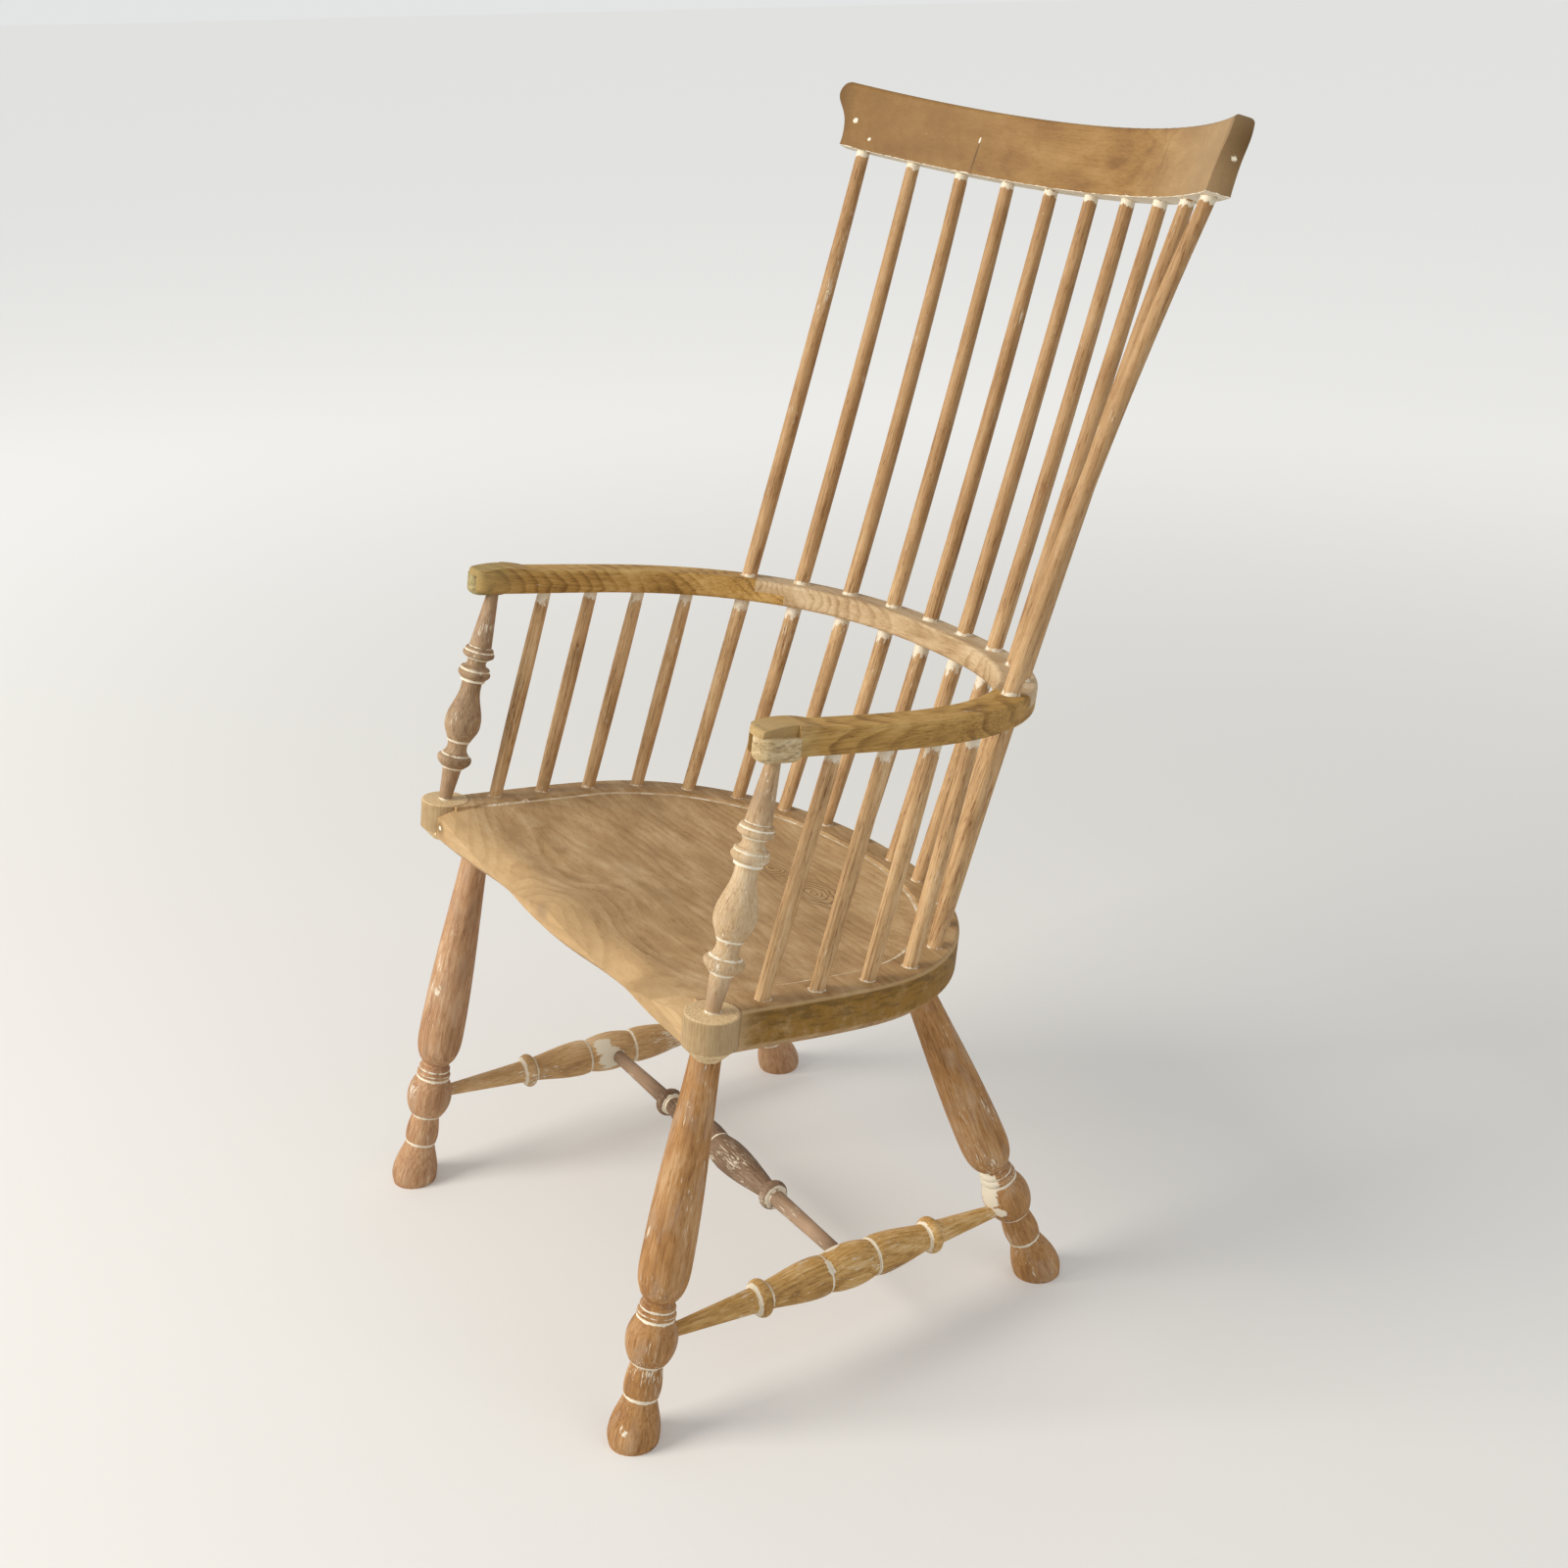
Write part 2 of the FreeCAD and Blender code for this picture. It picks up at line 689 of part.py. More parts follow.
def hand_swelling(side, plan):
    """The low mound that thickens a hand on top, as wide as the hand."""
    rise = hand_rise + hand_sunk
    chord = hand_front - arm_round - hand_swell_back
    radius = (chord ** 2 / 4 + rise ** 2) / (2 * rise)
    middle = V(side * (arm_half_width - arm_width), -hand_swell_back - chord / 2,
               hand_rise - radius)
    mound = Part.makeCylinder(radius, 2 * arm_width, middle, ACROSS * side)
    inset = arm_round * 0.6
    keep = Part.makeBox(arm_width - 2 * inset, chord, rise + 1,
                        V(arm_half_width - arm_width / 2 + inset,
                          -hand_swell_back - chord, -hand_sunk))
    keep = keep if side == LEFT else keep.mirror(V(), ACROSS)
    mound = mound.common(keep)
    upper = plan.copy()
    upper.translate(UP * (arm_thick - hand_sunk))
    return mound.common(upper.extrude(UP * (rise + 1)))


def hand_block_blank(side):
    """The block that is glued under the outer half of a hand, in the rail's own frame."""
    inner = arm_half_width - block_inside
    outer = arm_half_width + arm_width / 2 + block_proud
    wide = outer - inner
    long = hand_front - hand_step_place
    deep = arm_thick - block_seat + block_below
    low = V(inner, -hand_front, -arm_thick - block_below)
    block = Part.makeBox(wide, long, deep, low)
    upright = [e for e in block.Edges if e.BoundBox.ZLength > deep / 2
               and e.CenterOfMass.y < low.y + 1]
    block = block.makeFillet(wide * 0.45, upright)
    below = [e for e in block.Edges if abs(e.BoundBox.ZMax - low.z) < 0.01
             and e.BoundBox.ZLength < 0.01]
    block = block.makeFillet(block_round, below)
    if side == RIGHT:
        block = block.mirror(V(), ACROSS)
    return block


def block_bed(side):
    """What is planed off the under side of a hand to seat its block."""
    bed = Part.makeBox(arm_width, arm_width + hand_front - hand_step_place,
                       2 * arm_thick - block_seat,
                       V(arm_half_width - block_inside, -hand_front - arm_width,
                         -2 * arm_thick))
    return bed if side == LEFT else bed.mirror(V(), ACROSS)


def rail_solids():
    """Left arm, right arm and back, lapped at half their thickness."""
    blank = rail_blank()
    for side in SIDES.values():
        step = Part.makeBox(40, hand_front, arm_thick * 3,
                            V(arm_half_width + arm_width / 2 - hand_step,
                              -hand_front - hand_step_place, -arm_thick * 2))
        if side == RIGHT:
            step = step.mirror(V(), ACROSS)
        blank = blank.cut(step).cut(block_bed(side))
    middle_line = arm_bend(0)
    arms = {}
    for name, side in SIDES.items():
        parts = []
        for reach, top in ((lap_start, -arm_thick / 2), (lap_start + lap_long, arm_thick)):
            point, heading = along(middle_line, reach)
            ahead = Part.makeBox(1000, 1000, arm_thick + top, V(0, -500, -arm_thick))
            turn = FreeCAD.Rotation(ACROSS, V(heading.x, heading.y, 0))
            ahead = placed(ahead, FreeCAD.Placement(V(point.x, point.y, 0), turn))
            if side == RIGHT:
                ahead = ahead.mirror(V(), ACROSS)
            parts.append(ahead)
        beyond = parts[0].fuse(parts[1])
        arms[name] = blank.common(beyond)
        blank = blank.cut(beyond)
    arms["back"] = blank
    return arms


def rail_piece(piece):
    """A piece of the rail set in its place, with every hole that falls in it."""
    holes = [long_spindle(number, fit) for number in range(long_count)]
    for side in SIDES.values():
        holes += [short_spindle(side, number, fit, end_room) for number in range(short_count)]
        holes.append(post_top_hole(side))
    return placed(piece, arm_place).cut(holes)


def post_top_hole(side):
    foot, head = post_line(side)
    way = (head - foot).normalize()
    return socket(post_top_radius, post_top_radius, head, head + way * post_tenon, 10)


def hand_block(side):
    return placed(hand_block_blank(side), arm_place).cut(post_top_hole(side))


# Comb

def ear_waste(side):
    """What is sawn off an end of the comb, square to its curve, to leave the ear."""
    low, top, reach = 0.0, comb_tall, ear_reach
    ear = [V(0, 0, low), V(0, 0, top * 0.22), V(reach * 0.4, 0, top * 0.52),
           V(reach, 0, top * 0.78), V(reach * 0.8, 0, top * 0.93), V(0, 0, top)]
    curve = curve_through(ear)
    outside = 3 * reach
    beyond = Part.makePolygon([V(0, 0, top), V(-reach / 2, 0, top), V(-reach / 2, 0, top + 9),
                               V(outside, 0, top + 9), V(outside, 0, low - 9),
                               V(0, 0, low - 9), V(0, 0, low)])
    face = Part.Face(Part.Wire([curve.toShape()] + beyond.Edges))
    face.translate(V(0, -comb_thick_low, 0))
    waste = face.extrude(V(0, 2 * comb_thick_low, 0))
    turn = math.degrees(comb_half_long / comb_curve)
    waste.rotate(V(0, -comb_curve, 0), UP, -turn)
    return waste if side == LEFT else waste.mirror(V(), ACROSS)


def comb():
    low, top = comb_thick_low / 2, comb_thick_top / 2
    section = Part.makePolygon([V(0, -low, 0), V(0, low, 0), V(0, top, comb_tall),
                                V(0, -top, comb_tall), V(0, -low, 0)])
    turn = math.degrees((comb_half_long + 2 * ear_reach) / comb_curve)
    axis = V(0, -comb_curve, 0)
    face = Part.Face(section)
    face.rotate(axis, UP, -turn)
    board = face.revolve(axis, UP, 2 * turn)
    rims = [e for e in board.Edges if e.Length > comb_half_long and e.BoundBox.ZMax > 1]
    board = board.makeFillet(comb_round, rims)
    for side in SIDES.values():
        board = board.cut(ear_waste(side))
    board = placed(board, comb_place)
    holes = [long_spindle(number, fit, end_room) for number in range(long_count)]
    return board.cut(holes)


def build():
    pieces = {"seat": seat(), "comb": comb(), "stretcher_middle": cross_stretcher()}
    for name, piece in rail_solids().items():
        pieces[f"arm_rail_{name}"] = rail_piece(piece)
    for name, side in SIDES.items():
        for end in ("front", "back"):
            pieces[f"leg_{end}_{name}"] = leg(side, end)
        pieces[f"stretcher_{name}"] = side_stretcher(side)
        pieces[f"arm_post_{name}"] = arm_post(side)
        pieces[f"hand_block_{name}"] = hand_block(side)
        for number in range(short_count):
            pieces[f"short_spindle_{name}_{number + 1}"] = short_spindle(side, number)
    for number in range(long_count):
        pieces[f"long_spindle_{number + 1}"] = long_spindle(number)
    return pieces


def main():
    os.makedirs("parts", exist_ok=True)
    pieces = build()
    box = FreeCAD.BoundBox()
    for shape in pieces.values():
        box.add(shape.optimalBoundingBox(False))
    # the feet are already cut off level at the floor, at zero height
    centre = V(-(box.XMin + box.XMax) / 2, -(box.YMin + box.YMax) / 2, 0)
    for node, shape in pieces.items():
        shape.translate(centre)
        solids = shape.Solids
        print(node, len(solids), "solid", "valid" if shape.isValid() else "NOT VALID",
              round(shape.Volume / 1000, 1), "cm3")
        if len(solids) == 1:
            shape = solids[0]
        shape.exportStep(f"parts/{node}.step")
    print("size", round(box.XLength, 1), round(box.YLength, 1), round(box.ZMax, 1))
    print("moved by", centre)


main()
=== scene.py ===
import math

import bpy
import numpy as np
from mathutils import Matrix, Vector

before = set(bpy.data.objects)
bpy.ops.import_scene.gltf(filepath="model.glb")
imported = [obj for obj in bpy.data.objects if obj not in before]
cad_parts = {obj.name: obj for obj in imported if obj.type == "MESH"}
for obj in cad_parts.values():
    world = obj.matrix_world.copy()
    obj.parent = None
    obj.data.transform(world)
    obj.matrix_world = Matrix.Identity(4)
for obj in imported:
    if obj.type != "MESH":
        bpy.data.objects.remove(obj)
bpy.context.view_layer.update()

# A comb-back windsor armchair of stripped woods, with traces of cream paint left in its
# pores, grooves and joints. Every CAD node stays as it is and gets a wood of its own.
# Objects and frames are in metres, +Z is up, the sitter faces -Y and +X is the sitter's
# left. Sizes inside the materials are in millimetres.

MM = 0.001
CHAIR_MIDDLE = -0.1200388    # the middle of the seat's own frame, along Y
SIDES = (("left", 1), ("right", -1))
LONG = [f"long_spindle_{number}" for number in range(1, 11)]
SHORT = [f"short_spindle_{side}_{number}" for side, sign in SIDES for number in range(1, 5)]
POSTS = [f"arm_post_{side}" for side, sign in SIDES]


def sloping(back, height, fall):
    """Frame of a plane that lies across the chair and drops to the back by `fall` degrees."""
    turn = Matrix.Rotation(math.radians(-fall), 4, "X")
    return Matrix.Translation((0, CHAIR_MIDDLE + back, height)) @ turn


seat_plane = sloping(0, 0.430, 6.7)
arm_plane = sloping(0, 0.689, 8.5)
comb_plane = sloping(0.4635, 1.080, 20)
across = Matrix.Rotation(math.radians(90), 4, "Y")    # lays the grain from side to side
ARM_THICK = 25.0             # mm

# The curved groove round the dished part of the seat, and its round front corners, in mm
GROOVE_WIDE = 263.8
GROOVE_DEEP = 199.8
GROOVE_START = 10.0
GROOVE_POWER = 2.1
GROOVE_REACH = 225.0         # about as far from the seat's middle as the groove lies
GROOVE_END = (-118.0, -108.0)
SEAT_CORNERS = [Vector((-293.5, -148.0)), Vector((293.5, -148.0))]
CORNER_ROUND = 26.2
CORNER_END = (-128.0, -100.0)
FRONT_ROLL = (-112.0, -152.0)
BEVEL_TOP = (-34.0, -37.0)    # height over the seat, under which its edge is bevelled


def corners(node):
    """All corner points of a node, as rows of metres."""
    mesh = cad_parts[node].data
    points = np.zeros(len(mesh.vertices) * 3)
    mesh.vertices.foreach_get("co", points)
    return points.reshape(-1, 3)


def middle_of(points):
    """Middle of the box round some points."""
    return Vector((points.min(0) + points.max(0)) / 2)


def centre_line(node):
    """Both ends of a turned piece's centre line, the lower, front or right-hand one first."""
    points = corners(node)
    spread = np.cov((points - points.mean(0)).T)
    way = np.linalg.eigh(spread)[1][:, -1]
    to_last = np.array((0.3, 0.5, 1.0))    # up, or else back, or else left
    way = way if way @ to_last > 0 else -way
    reach = points @ way
    slice_deep = 1.5 * MM
    low = middle_of(points[reach < reach.min() + slice_deep])
    high = middle_of(points[reach > reach.max() - slice_deep])
    return low, high


def upright(foot, tip):
    """Frame that stands on `foot` with its Z towards `tip`."""
    turn = (tip - foot).to_track_quat("Z", "Y")
    return Matrix.Translation(foot) @ turn.to_matrix().to_4x4()


def crossing(node, plane, height=0.0):
    """Where a spindle or post passes a height (mm) over a plane, in that plane's mm."""
    flat = np.array(plane.inverted())
    local = (corners(node) @ flat[:3, :3].T + flat[:3, 3]) / MM
    half_band = 6.0
    return middle_of(local[abs(local[:, 2] - height) < half_band]).to_2d()


# Nodes. The inputs of a MapRange are 0 its value, 1 and 2 where it starts and ends, and 3
# and 4 what it gives there. Those of a Mix are 0 its share, and 6 and 7 its two colours.

SOFT = {"interpolation_type": "SMOOTHSTEP"}    # a step that starts and ends gently


def linear(colour):
    """An sRGB hex colour as the shader's linear numbers."""
    parts = [int(colour[place:place + 2], 16) / 255 for place in (1, 3, 5)]
    parts = [c / 12.92 if c <= 0.04045 else ((c + 0.055) / 1.055) ** 2.4 for c in parts]
    return (*parts, 1.0)


def add(tree, kind, inputs=None, stops=(), **settings):
    """One node with its settings and links.

    An input is a number, a colour, a node or a socket. stops are a ramp's places from 0 to
    1, each with a grey or a hex colour.
    """
    node = tree.nodes.new("ShaderNode" + kind)
    for name, value in settings.items():
        setattr(node, name, value)
    for name, value in (inputs or {}).items():
        if isinstance(value, bpy.types.Node):
            value = value.outputs[0]
        if isinstance(value, bpy.types.NodeSocket):
            tree.links.new(value, node.inputs[name])
        else:
            node.inputs[name].default_value = value
    if stops:
        marks = node.color_ramp.elements
        while len(marks) < len(stops):
            marks.new(1.0)
        for mark, (place, shade) in zip(marks, stops):
            mark.position = place
            mark.color = linear(shade) if isinstance(shade, str) else (shade,) * 3 + (1.0,)
    return node


def together(tree, operation, values):
    """Several values made one: their product, or the greatest or least of them."""
    whole = values[0]
    for value in values[1:]:
        whole = add(tree, "Math", {0: whole, 1: value}, operation=operation)
    return whole


def millimetres(tree, place):
    """Object coordinates in a frame of the piece's own, in mm."""
    own = add(tree, "TexCoord").outputs["Object"]
    return add(tree, "Mapping", {"Vector": own, "Location": place.translation,
                                 "Rotation": place.to_euler(), "Scale": (MM, MM, MM)},
               vector_type="TEXTURE")


def height_over(tree, plane):
    """Height over a plane in mm."""
    return add(tree, "SeparateXYZ", {0: millimetres(tree, plane)}).outputs["Z"]


def mottle(tree, at, grain, piece=0.0, **inputs):
    """Uneven tone with grains of a size in mm, the last along the wood, other for each piece."""
    finer = add(tree, "VectorMath", {0: at, 1: [1 / size for size in grain]},
                operation="MULTIPLY")
    return add(tree, "TexNoise", {"Vector": finer, "W": piece, "Scale": 1.0, **inputs},
               noise_dimensions="4D")


def nearest(tree, at, points):
    """Distance in mm from the nearest of some places on a plane."""
    flat = add(tree, "VectorMath", {0: at, 1: (1, 1, 0)}, operation="MULTIPLY")
    gaps = [add(tree, "VectorMath", {0: flat, 1: (point.x, point.y, 0)},
                operation="DISTANCE").outputs["Value"] for point in points]
    return together(tree, "MINIMUM", gaps)


# Stripped wood

CREAM = "#ece2cc"            # old oil paint, yellowed a little
PAINT_ROUGH = 0.55
WOOD_ROUGH = 0.62            # bare, neither sanded fine nor waxed
WOOD_GLOSS = 0.35            # weaker than on a varnished chair

# Grains in mm: across, across and along the wood. Real pores and strands are some tenths of
# a millimetre wide; they and the paint in them are drawn as wide as the render can show.
WAVER = (38, 38, 130)        # how the trunk grew unevenly
CLEAR = (30, 30, 90)         # where its rings show
CLOUD = (26, 26, 70)
PORE = (0.9, 0.9, 10.0)
PAINT_PATCH = (24, 24, 45)
PAINT_LINE = (1.2, 1.2, 14.0)
PAINT_FLECK = (2.2, 2.2, 4.5)
PAINT_EDGE = (5.5, 5.5, 14.0)
RING_SHADE = [(0.0, 0.0), (0.45, 0.2), (0.8, 1.0), (0.9, 0.9), (1.0, 0.0)]
PORE_DARK = 0.25
RELIEF = 0.4                 # mm that paint stands proud
FIBRE_PROUD = 0.6            # shares of that
RING_PROUD = 0.25

# Where on its noise each of them begins to show, and where it shows in full
SHOW_RINGS = (0.38, 0.62)
SHOW_PORES = (0.56, 0.70)
SHOW_SOLID = (0.98, 1.05)    # likelihood of paint and the noise of its edge together


def stripped_wood(name, place, tones, rings, fibres, paint=(), wash=0.3, stains=(),
                  cloudy=1.2, bumps=1.0):
    """Bare wood after paint stripper: dull, its figure raised, cream paint left in places.

    place is the piece's own frame, with its Z along the grain. tones are the dark, middle
    and pale colours. rings are the growth rings' spacing (mm), heart, loop (how fast they
    close along the grain), waver (mm), strength, and flat (less than 1 where they lie flat).
    fibres are their width and length (mm) and strength. paint are functions for how likely
    solid paint is, wash is how much fine paint is left, and stains are functions for an
    amount, each with its colour. cloudy is how uneven the tone is, bumps how rough the face.
    """
    material = bpy.data.materials.new(name)
    material.use_nodes = True
    tree = material.node_tree
    tree.nodes.clear()
    at = millimetres(tree, place)
    # a number from the piece's own place, to which most patterns add one of their own
    piece = 10 * (place.translation.x + 2 * place.translation.y)

    # growth rings: long thin shells round the heart of the trunk, wavering, strong in places
    shells = (rings.get("flat", 1.0), 1.0, rings["loop"])
    stretched = add(tree, "VectorMath", {0: at, 1: shells}, operation="MULTIPLY")
    from_heart = add(tree, "VectorMath", {0: stretched, 1: rings["heart"]},
                     operation="DISTANCE").outputs["Value"]
    waver = mottle(tree, at, WAVER, piece, Detail=2.0)
    drift = add(tree, "Math", {0: waver, 1: rings["waver"], 2: from_heart},
                operation="MULTIPLY_ADD")
    turn = add(tree, "Math", {0: drift, 1: 1 / rings["spacing"]}, operation="MULTIPLY")
    share = add(tree, "Math", {0: turn}, operation="FRACT")
    ring = add(tree, "ValToRGB", {0: share}, RING_SHADE)
    clear = mottle(tree, at, CLEAR, piece + 3)
    start, full = SHOW_RINGS
    clear = add(tree, "MapRange", {0: clear, 1: start, 2: full, 3: 0.25, 4: 1.0}, **SOFT)
    ring = add(tree, "Math", {0: ring, 1: clear}, operation="MULTIPLY")

    # fibre, cloudy patches, short dark pores and rings, round the middle tone
    wide, long, strength = fibres
    fibre = mottle(tree, at, (wide, wide, long), piece, Detail=4.0, Roughness=0.68)
    pore = mottle(tree, at, PORE, piece + 5, Detail=1.0)
    start, full = SHOW_PORES
    pore = add(tree, "MapRange", {0: pore, 1: start, 2: full, 3: 0.0, 4: 1.0}, **SOFT)
    cloud = mottle(tree, at, CLOUD, piece + 7, Detail=3.0, Roughness=0.6)
    tone = 0.5 - (strength + cloudy) / 2 + rings["strength"] / 4
    for value, amount in ((fibre, strength), (cloud, cloudy), (pore, -PORE_DARK),
                          (ring, -rings["strength"])):
        tone = add(tree, "Math", {0: value, 1: amount, 2: tone}, operation="MULTIPLY_ADD")
    dark, middle, pale = tones
    colour = add(tree, "ValToRGB", {0: tone}, [(0.1, dark), (0.5, middle), (0.9, pale)])
    for stain, stain_colour in stains:
        colour = add(tree, "Mix", {0: stain(tree), 6: colour, 7: linear(stain_colour)},
                     data_type="RGBA").outputs[2]

    # paint: lines in the pores, loose flecks, and solid cream where it was hard to reach
    patchy = mottle(tree, at, PAINT_PATCH, piece + 9, Detail=2.0)
    lines = mottle(tree, at, PAINT_LINE, piece + 11, Detail=2.0, Roughness=0.6)
    lines = add(tree, "Math", {0: patchy, 1: 0.9, 2: lines}, operation="MULTIPLY_ADD")
    start = 1.28 - 0.22 * wash    # with more wash they begin to show earlier
    lines = add(tree, "MapRange", {0: lines, 1: start, 2: start + 0.12, 3: 0.0, 4: 0.8},
                **SOFT)
    flecks = mottle(tree, at, PAINT_FLECK, piece + 13, Detail=1.0)
    flecks = add(tree, "Math", {0: patchy, 1: 0.5, 2: flecks}, operation="MULTIPLY_ADD")
    start, full = 1.12 - 0.1 * wash, 1.16 - 0.1 * wash
    flecks = add(tree, "MapRange", {0: flecks, 1: start, 2: full, 3: 0.0, 4: 0.95}, **SOFT)
    kinds = [lines, flecks]
    likely = [source(tree) for source in paint]
    if likely:
        ragged = mottle(tree, at, PAINT_EDGE, piece, Detail=5.0, Roughness=0.72)
        level = add(tree, "Math", {0: together(tree, "MAXIMUM", likely), 1: ragged},
                    operation="ADD")
        start, full = SHOW_SOLID
        kinds.append(add(tree, "MapRange", {0: level, 1: start, 2: full, 3: 0.0, 4: 1.0},
                         **SOFT))
    covered = together(tree, "MAXIMUM", kinds)
    painted = add(tree, "Mix", {0: covered, 6: colour, 7: linear(CREAM)},
                  data_type="RGBA").outputs[2]

    relief = add(tree, "Math", {0: fibre, 1: FIBRE_PROUD, 2: covered},
                 operation="MULTIPLY_ADD")
    relief = add(tree, "Math", {0: ring, 1: RING_PROUD, 2: relief}, operation="MULTIPLY_ADD")
    bump = add(tree, "Bump", {"Height": relief, "Strength": 0.35,
                              "Distance": RELIEF * bumps * MM})
    rough = add(tree, "MapRange", {0: covered, 3: WOOD_ROUGH, 4: PAINT_ROUGH})
    shader = add(tree, "BsdfPrincipled", {"Base Color": painted, "Roughness": rough,
                                          "Normal": bump, "Specular IOR Level": WOOD_GLOSS})
    add(tree, "OutputMaterial", {"Surface": shader})
    return material


def dress(node, material):
    """Gives a CAD node its material."""
    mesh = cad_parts[node].data
    mesh.materials.clear()
    mesh.materials.append(material)


# Where paint and stain stay, and where shade and a highlight are painted on the seat's edge:
# each function gives an amount, worked out from the place.
# Heights over the seat and distances outside its groove are in mm.

STAIN_NOISE = 20.0           # no piece's own patterns use these two numbers
GRIME_NOISE = 31.0


def patches(place, grain, amount):
    """Faded or dirty patches of a size in mm, without sharp edges."""
    def amounts(tree):
        spots = mottle(tree, millimetres(tree, place), grain, STAIN_NOISE, Detail=3.0,
                       Roughness=0.6)
        return add(tree, "MapRange", {0: spots, 1: 0.48, 2: 0.68, 3: 0.0, 4: amount},
                   **SOFT)
    return amounts


def rings_along(place, span, marks):
    """Paint or stain at some heights of a piece, such as the grooves of a turning.

    marks are heights, half widths and strengths, over the frame's zero and inside span (mm).
    """
    low, high = span
    peak = 1.2               # paint is likeliest in the deepest line of a groove
    stops = [(0.0, 0.0)]
    for height, half, strength in marks:
        for edge, level in ((-half, 0.0), (0.0, strength * peak), (half, 0.0)):
            stops.append(((height + edge - low) / (high - low), level))
    stops = [(min(max(place_along, 0.0), 1.0), level) for place_along, level in sorted(stops)]

    def amounts(tree):
        share = add(tree, "MapRange", {0: height_over(tree, place), 1: low, 2: high})
        return add(tree, "ValToRGB", {0: share}, stops)
    return amounts


def collars(plane, height, points, reach, level=0.56):
    """Paint round the spindles where they enter a surface at a height over a plane."""
    def amounts(tree):
        at = millimetres(tree, plane)
        gap = nearest(tree, at, points)
        over = add(tree, "SeparateXYZ", {0: at}).outputs["Z"]
        off = add(tree, "Math", {0: over, 1: height}, operation="SUBTRACT")
        off = add(tree, "Math", {0: off}, operation="ABSOLUTE")
        whole = add(tree, "Math", {0: gap, 1: off}, operation="MAXIMUM")
        return add(tree, "MapRange", {0: whole, 1: reach * 0.7, 2: reach * 1.5, 3: level,
                                      4: 0.0}, **SOFT)
    return amounts


def splash(place, reach, strength):
    """A patch round a place on the chair; reach is its half size along X, Y and Z, in mm."""
    def amounts(tree):
        own = add(tree, "TexCoord").outputs["Object"]
        off = add(tree, "VectorMath", {0: own, 1: [value * MM for value in place]},
                  operation="SUBTRACT")
        share = add(tree, "VectorMath", {0: off, 1: [1 / (size * MM) for size in reach]},
                    operation="MULTIPLY")
        away = add(tree, "VectorMath", {0: share}, operation="LENGTH").outputs["Value"]
        return add(tree, "MapRange", {0: away, 1: 0.3, 2: 1.0, 3: strength, 4: 0.0})
    return amounts


def seat_line(tree):
    """How far a place on the seat lies outside the groove, in mm, and its Y there."""
    parts = add(tree, "SeparateXYZ", {0: millimetres(tree, seat_plane)})
    side = add(tree, "Math", {0: parts.outputs["X"]}, operation="ABSOLUTE")
    side = add(tree, "Math", {0: side, 1: GROOVE_WIDE}, operation="DIVIDE")
    back = add(tree, "Math", {0: parts.outputs["Y"], 1: GROOVE_START}, operation="SUBTRACT")
    back = add(tree, "Math", {0: back, 1: 0.0}, operation="MAXIMUM")
    back = add(tree, "Math", {0: back, 1: GROOVE_DEEP}, operation="DIVIDE")
    powers = [add(tree, "Math", {0: part, 1: GROOVE_POWER}, operation="POWER")
              for part in (side, back)]
    total = add(tree, "Math", {0: powers[0], 1: powers[1]}, operation="ADD")
    total = add(tree, "Math", {0: total, 1: 1 / GROOVE_POWER}, operation="POWER")
    outside = add(tree, "Math", {0: total, 1: GROOVE_REACH, 2: -GROOVE_REACH},
                  operation="MULTIPLY_ADD")
    return outside, parts.outputs["Y"]


def in_groove(tree, inward, half, fade, strength, **kind):
    """A line along the groove: how far inward of it, half its width and its fade, in mm."""
    outside, along = seat_line(tree)
    off = add(tree, "Math", {0: outside, 1: inward}, operation="ADD")
    off = add(tree, "Math", {0: off}, operation="ABSOLUTE")
    level = add(tree, "MapRange", {0: off, 1: half, 2: fade, 3: strength, 4: 0.0}, **kind)
    start, end = GROOVE_END
    here = add(tree, "MapRange", {0: along, 1: start, 2: end, 3: 0.0, 4: 1.0}, **SOFT)
    return add(tree, "Math", {0: level, 1: here}, operation="MULTIPLY")


def groove_paint(tree):
    """Ragged paint on the walls of the groove."""
    return in_groove(tree, inward=0.6, half=1.3, fade=2.6, strength=0.50)


def groove_dust(tree):
    """A thin film of the same paint all along the groove."""
    return in_groove(tree, inward=0.8, half=1.4, fade=2.5, strength=0.6, **SOFT)


def behind_corner(tree, along):
    """1 behind the round front corners of the seat, 0 at them."""
    start, end = CORNER_END
    return add(tree, "MapRange", {0: along, 1: start, 2: end, 3: 0.0, 4: 1.0}, **SOFT)


def over_bevel(tree, height, least):
    """1 on the upright edge of the seat, and least on the bevel under it."""
    top, low = BEVEL_TOP
    return add(tree, "MapRange", {0: height, 1: top, 2: low, 3: 1.0, 4: least}, **SOFT)


RIM_BLOTCH = (12, 12, 16)    # mm
RIM_SMUDGE = (22, 22, 5)
CORNER_STREAK = (2.2, 2.2, 26.0)


def rim_stain(tree):
    """The seat's edge kept its old brown, its bevel and front corners not."""
    outside, along = seat_line(tree)
    blotch = mottle(tree, millimetres(tree, seat_plane), RIM_BLOTCH, Detail=4.0,
                    Roughness=0.7)
    ragged = 110.0           # mm by which the blotches move the stain's inner edge
    blotch = add(tree, "Math", {0: blotch, 1: ragged, 2: outside}, operation="MULTIPLY_ADD")
    amount = add(tree, "MapRange", {0: blotch, 1: 46.0, 2: 98.0, 3: 0.0, 4: 1.0}, **SOFT)
    height = height_over(tree, seat_plane)
    edge = add(tree, "MapRange", {0: height, 1: -0.5, 2: -4.0, 3: 0.16, 4: 0.95}, **SOFT)
    here = together(tree, "MULTIPLY",
                    [behind_corner(tree, along), edge, over_bevel(tree, height, 0.15)])
    return add(tree, "Math", {0: amount, 1: here}, operation="MULTIPLY")


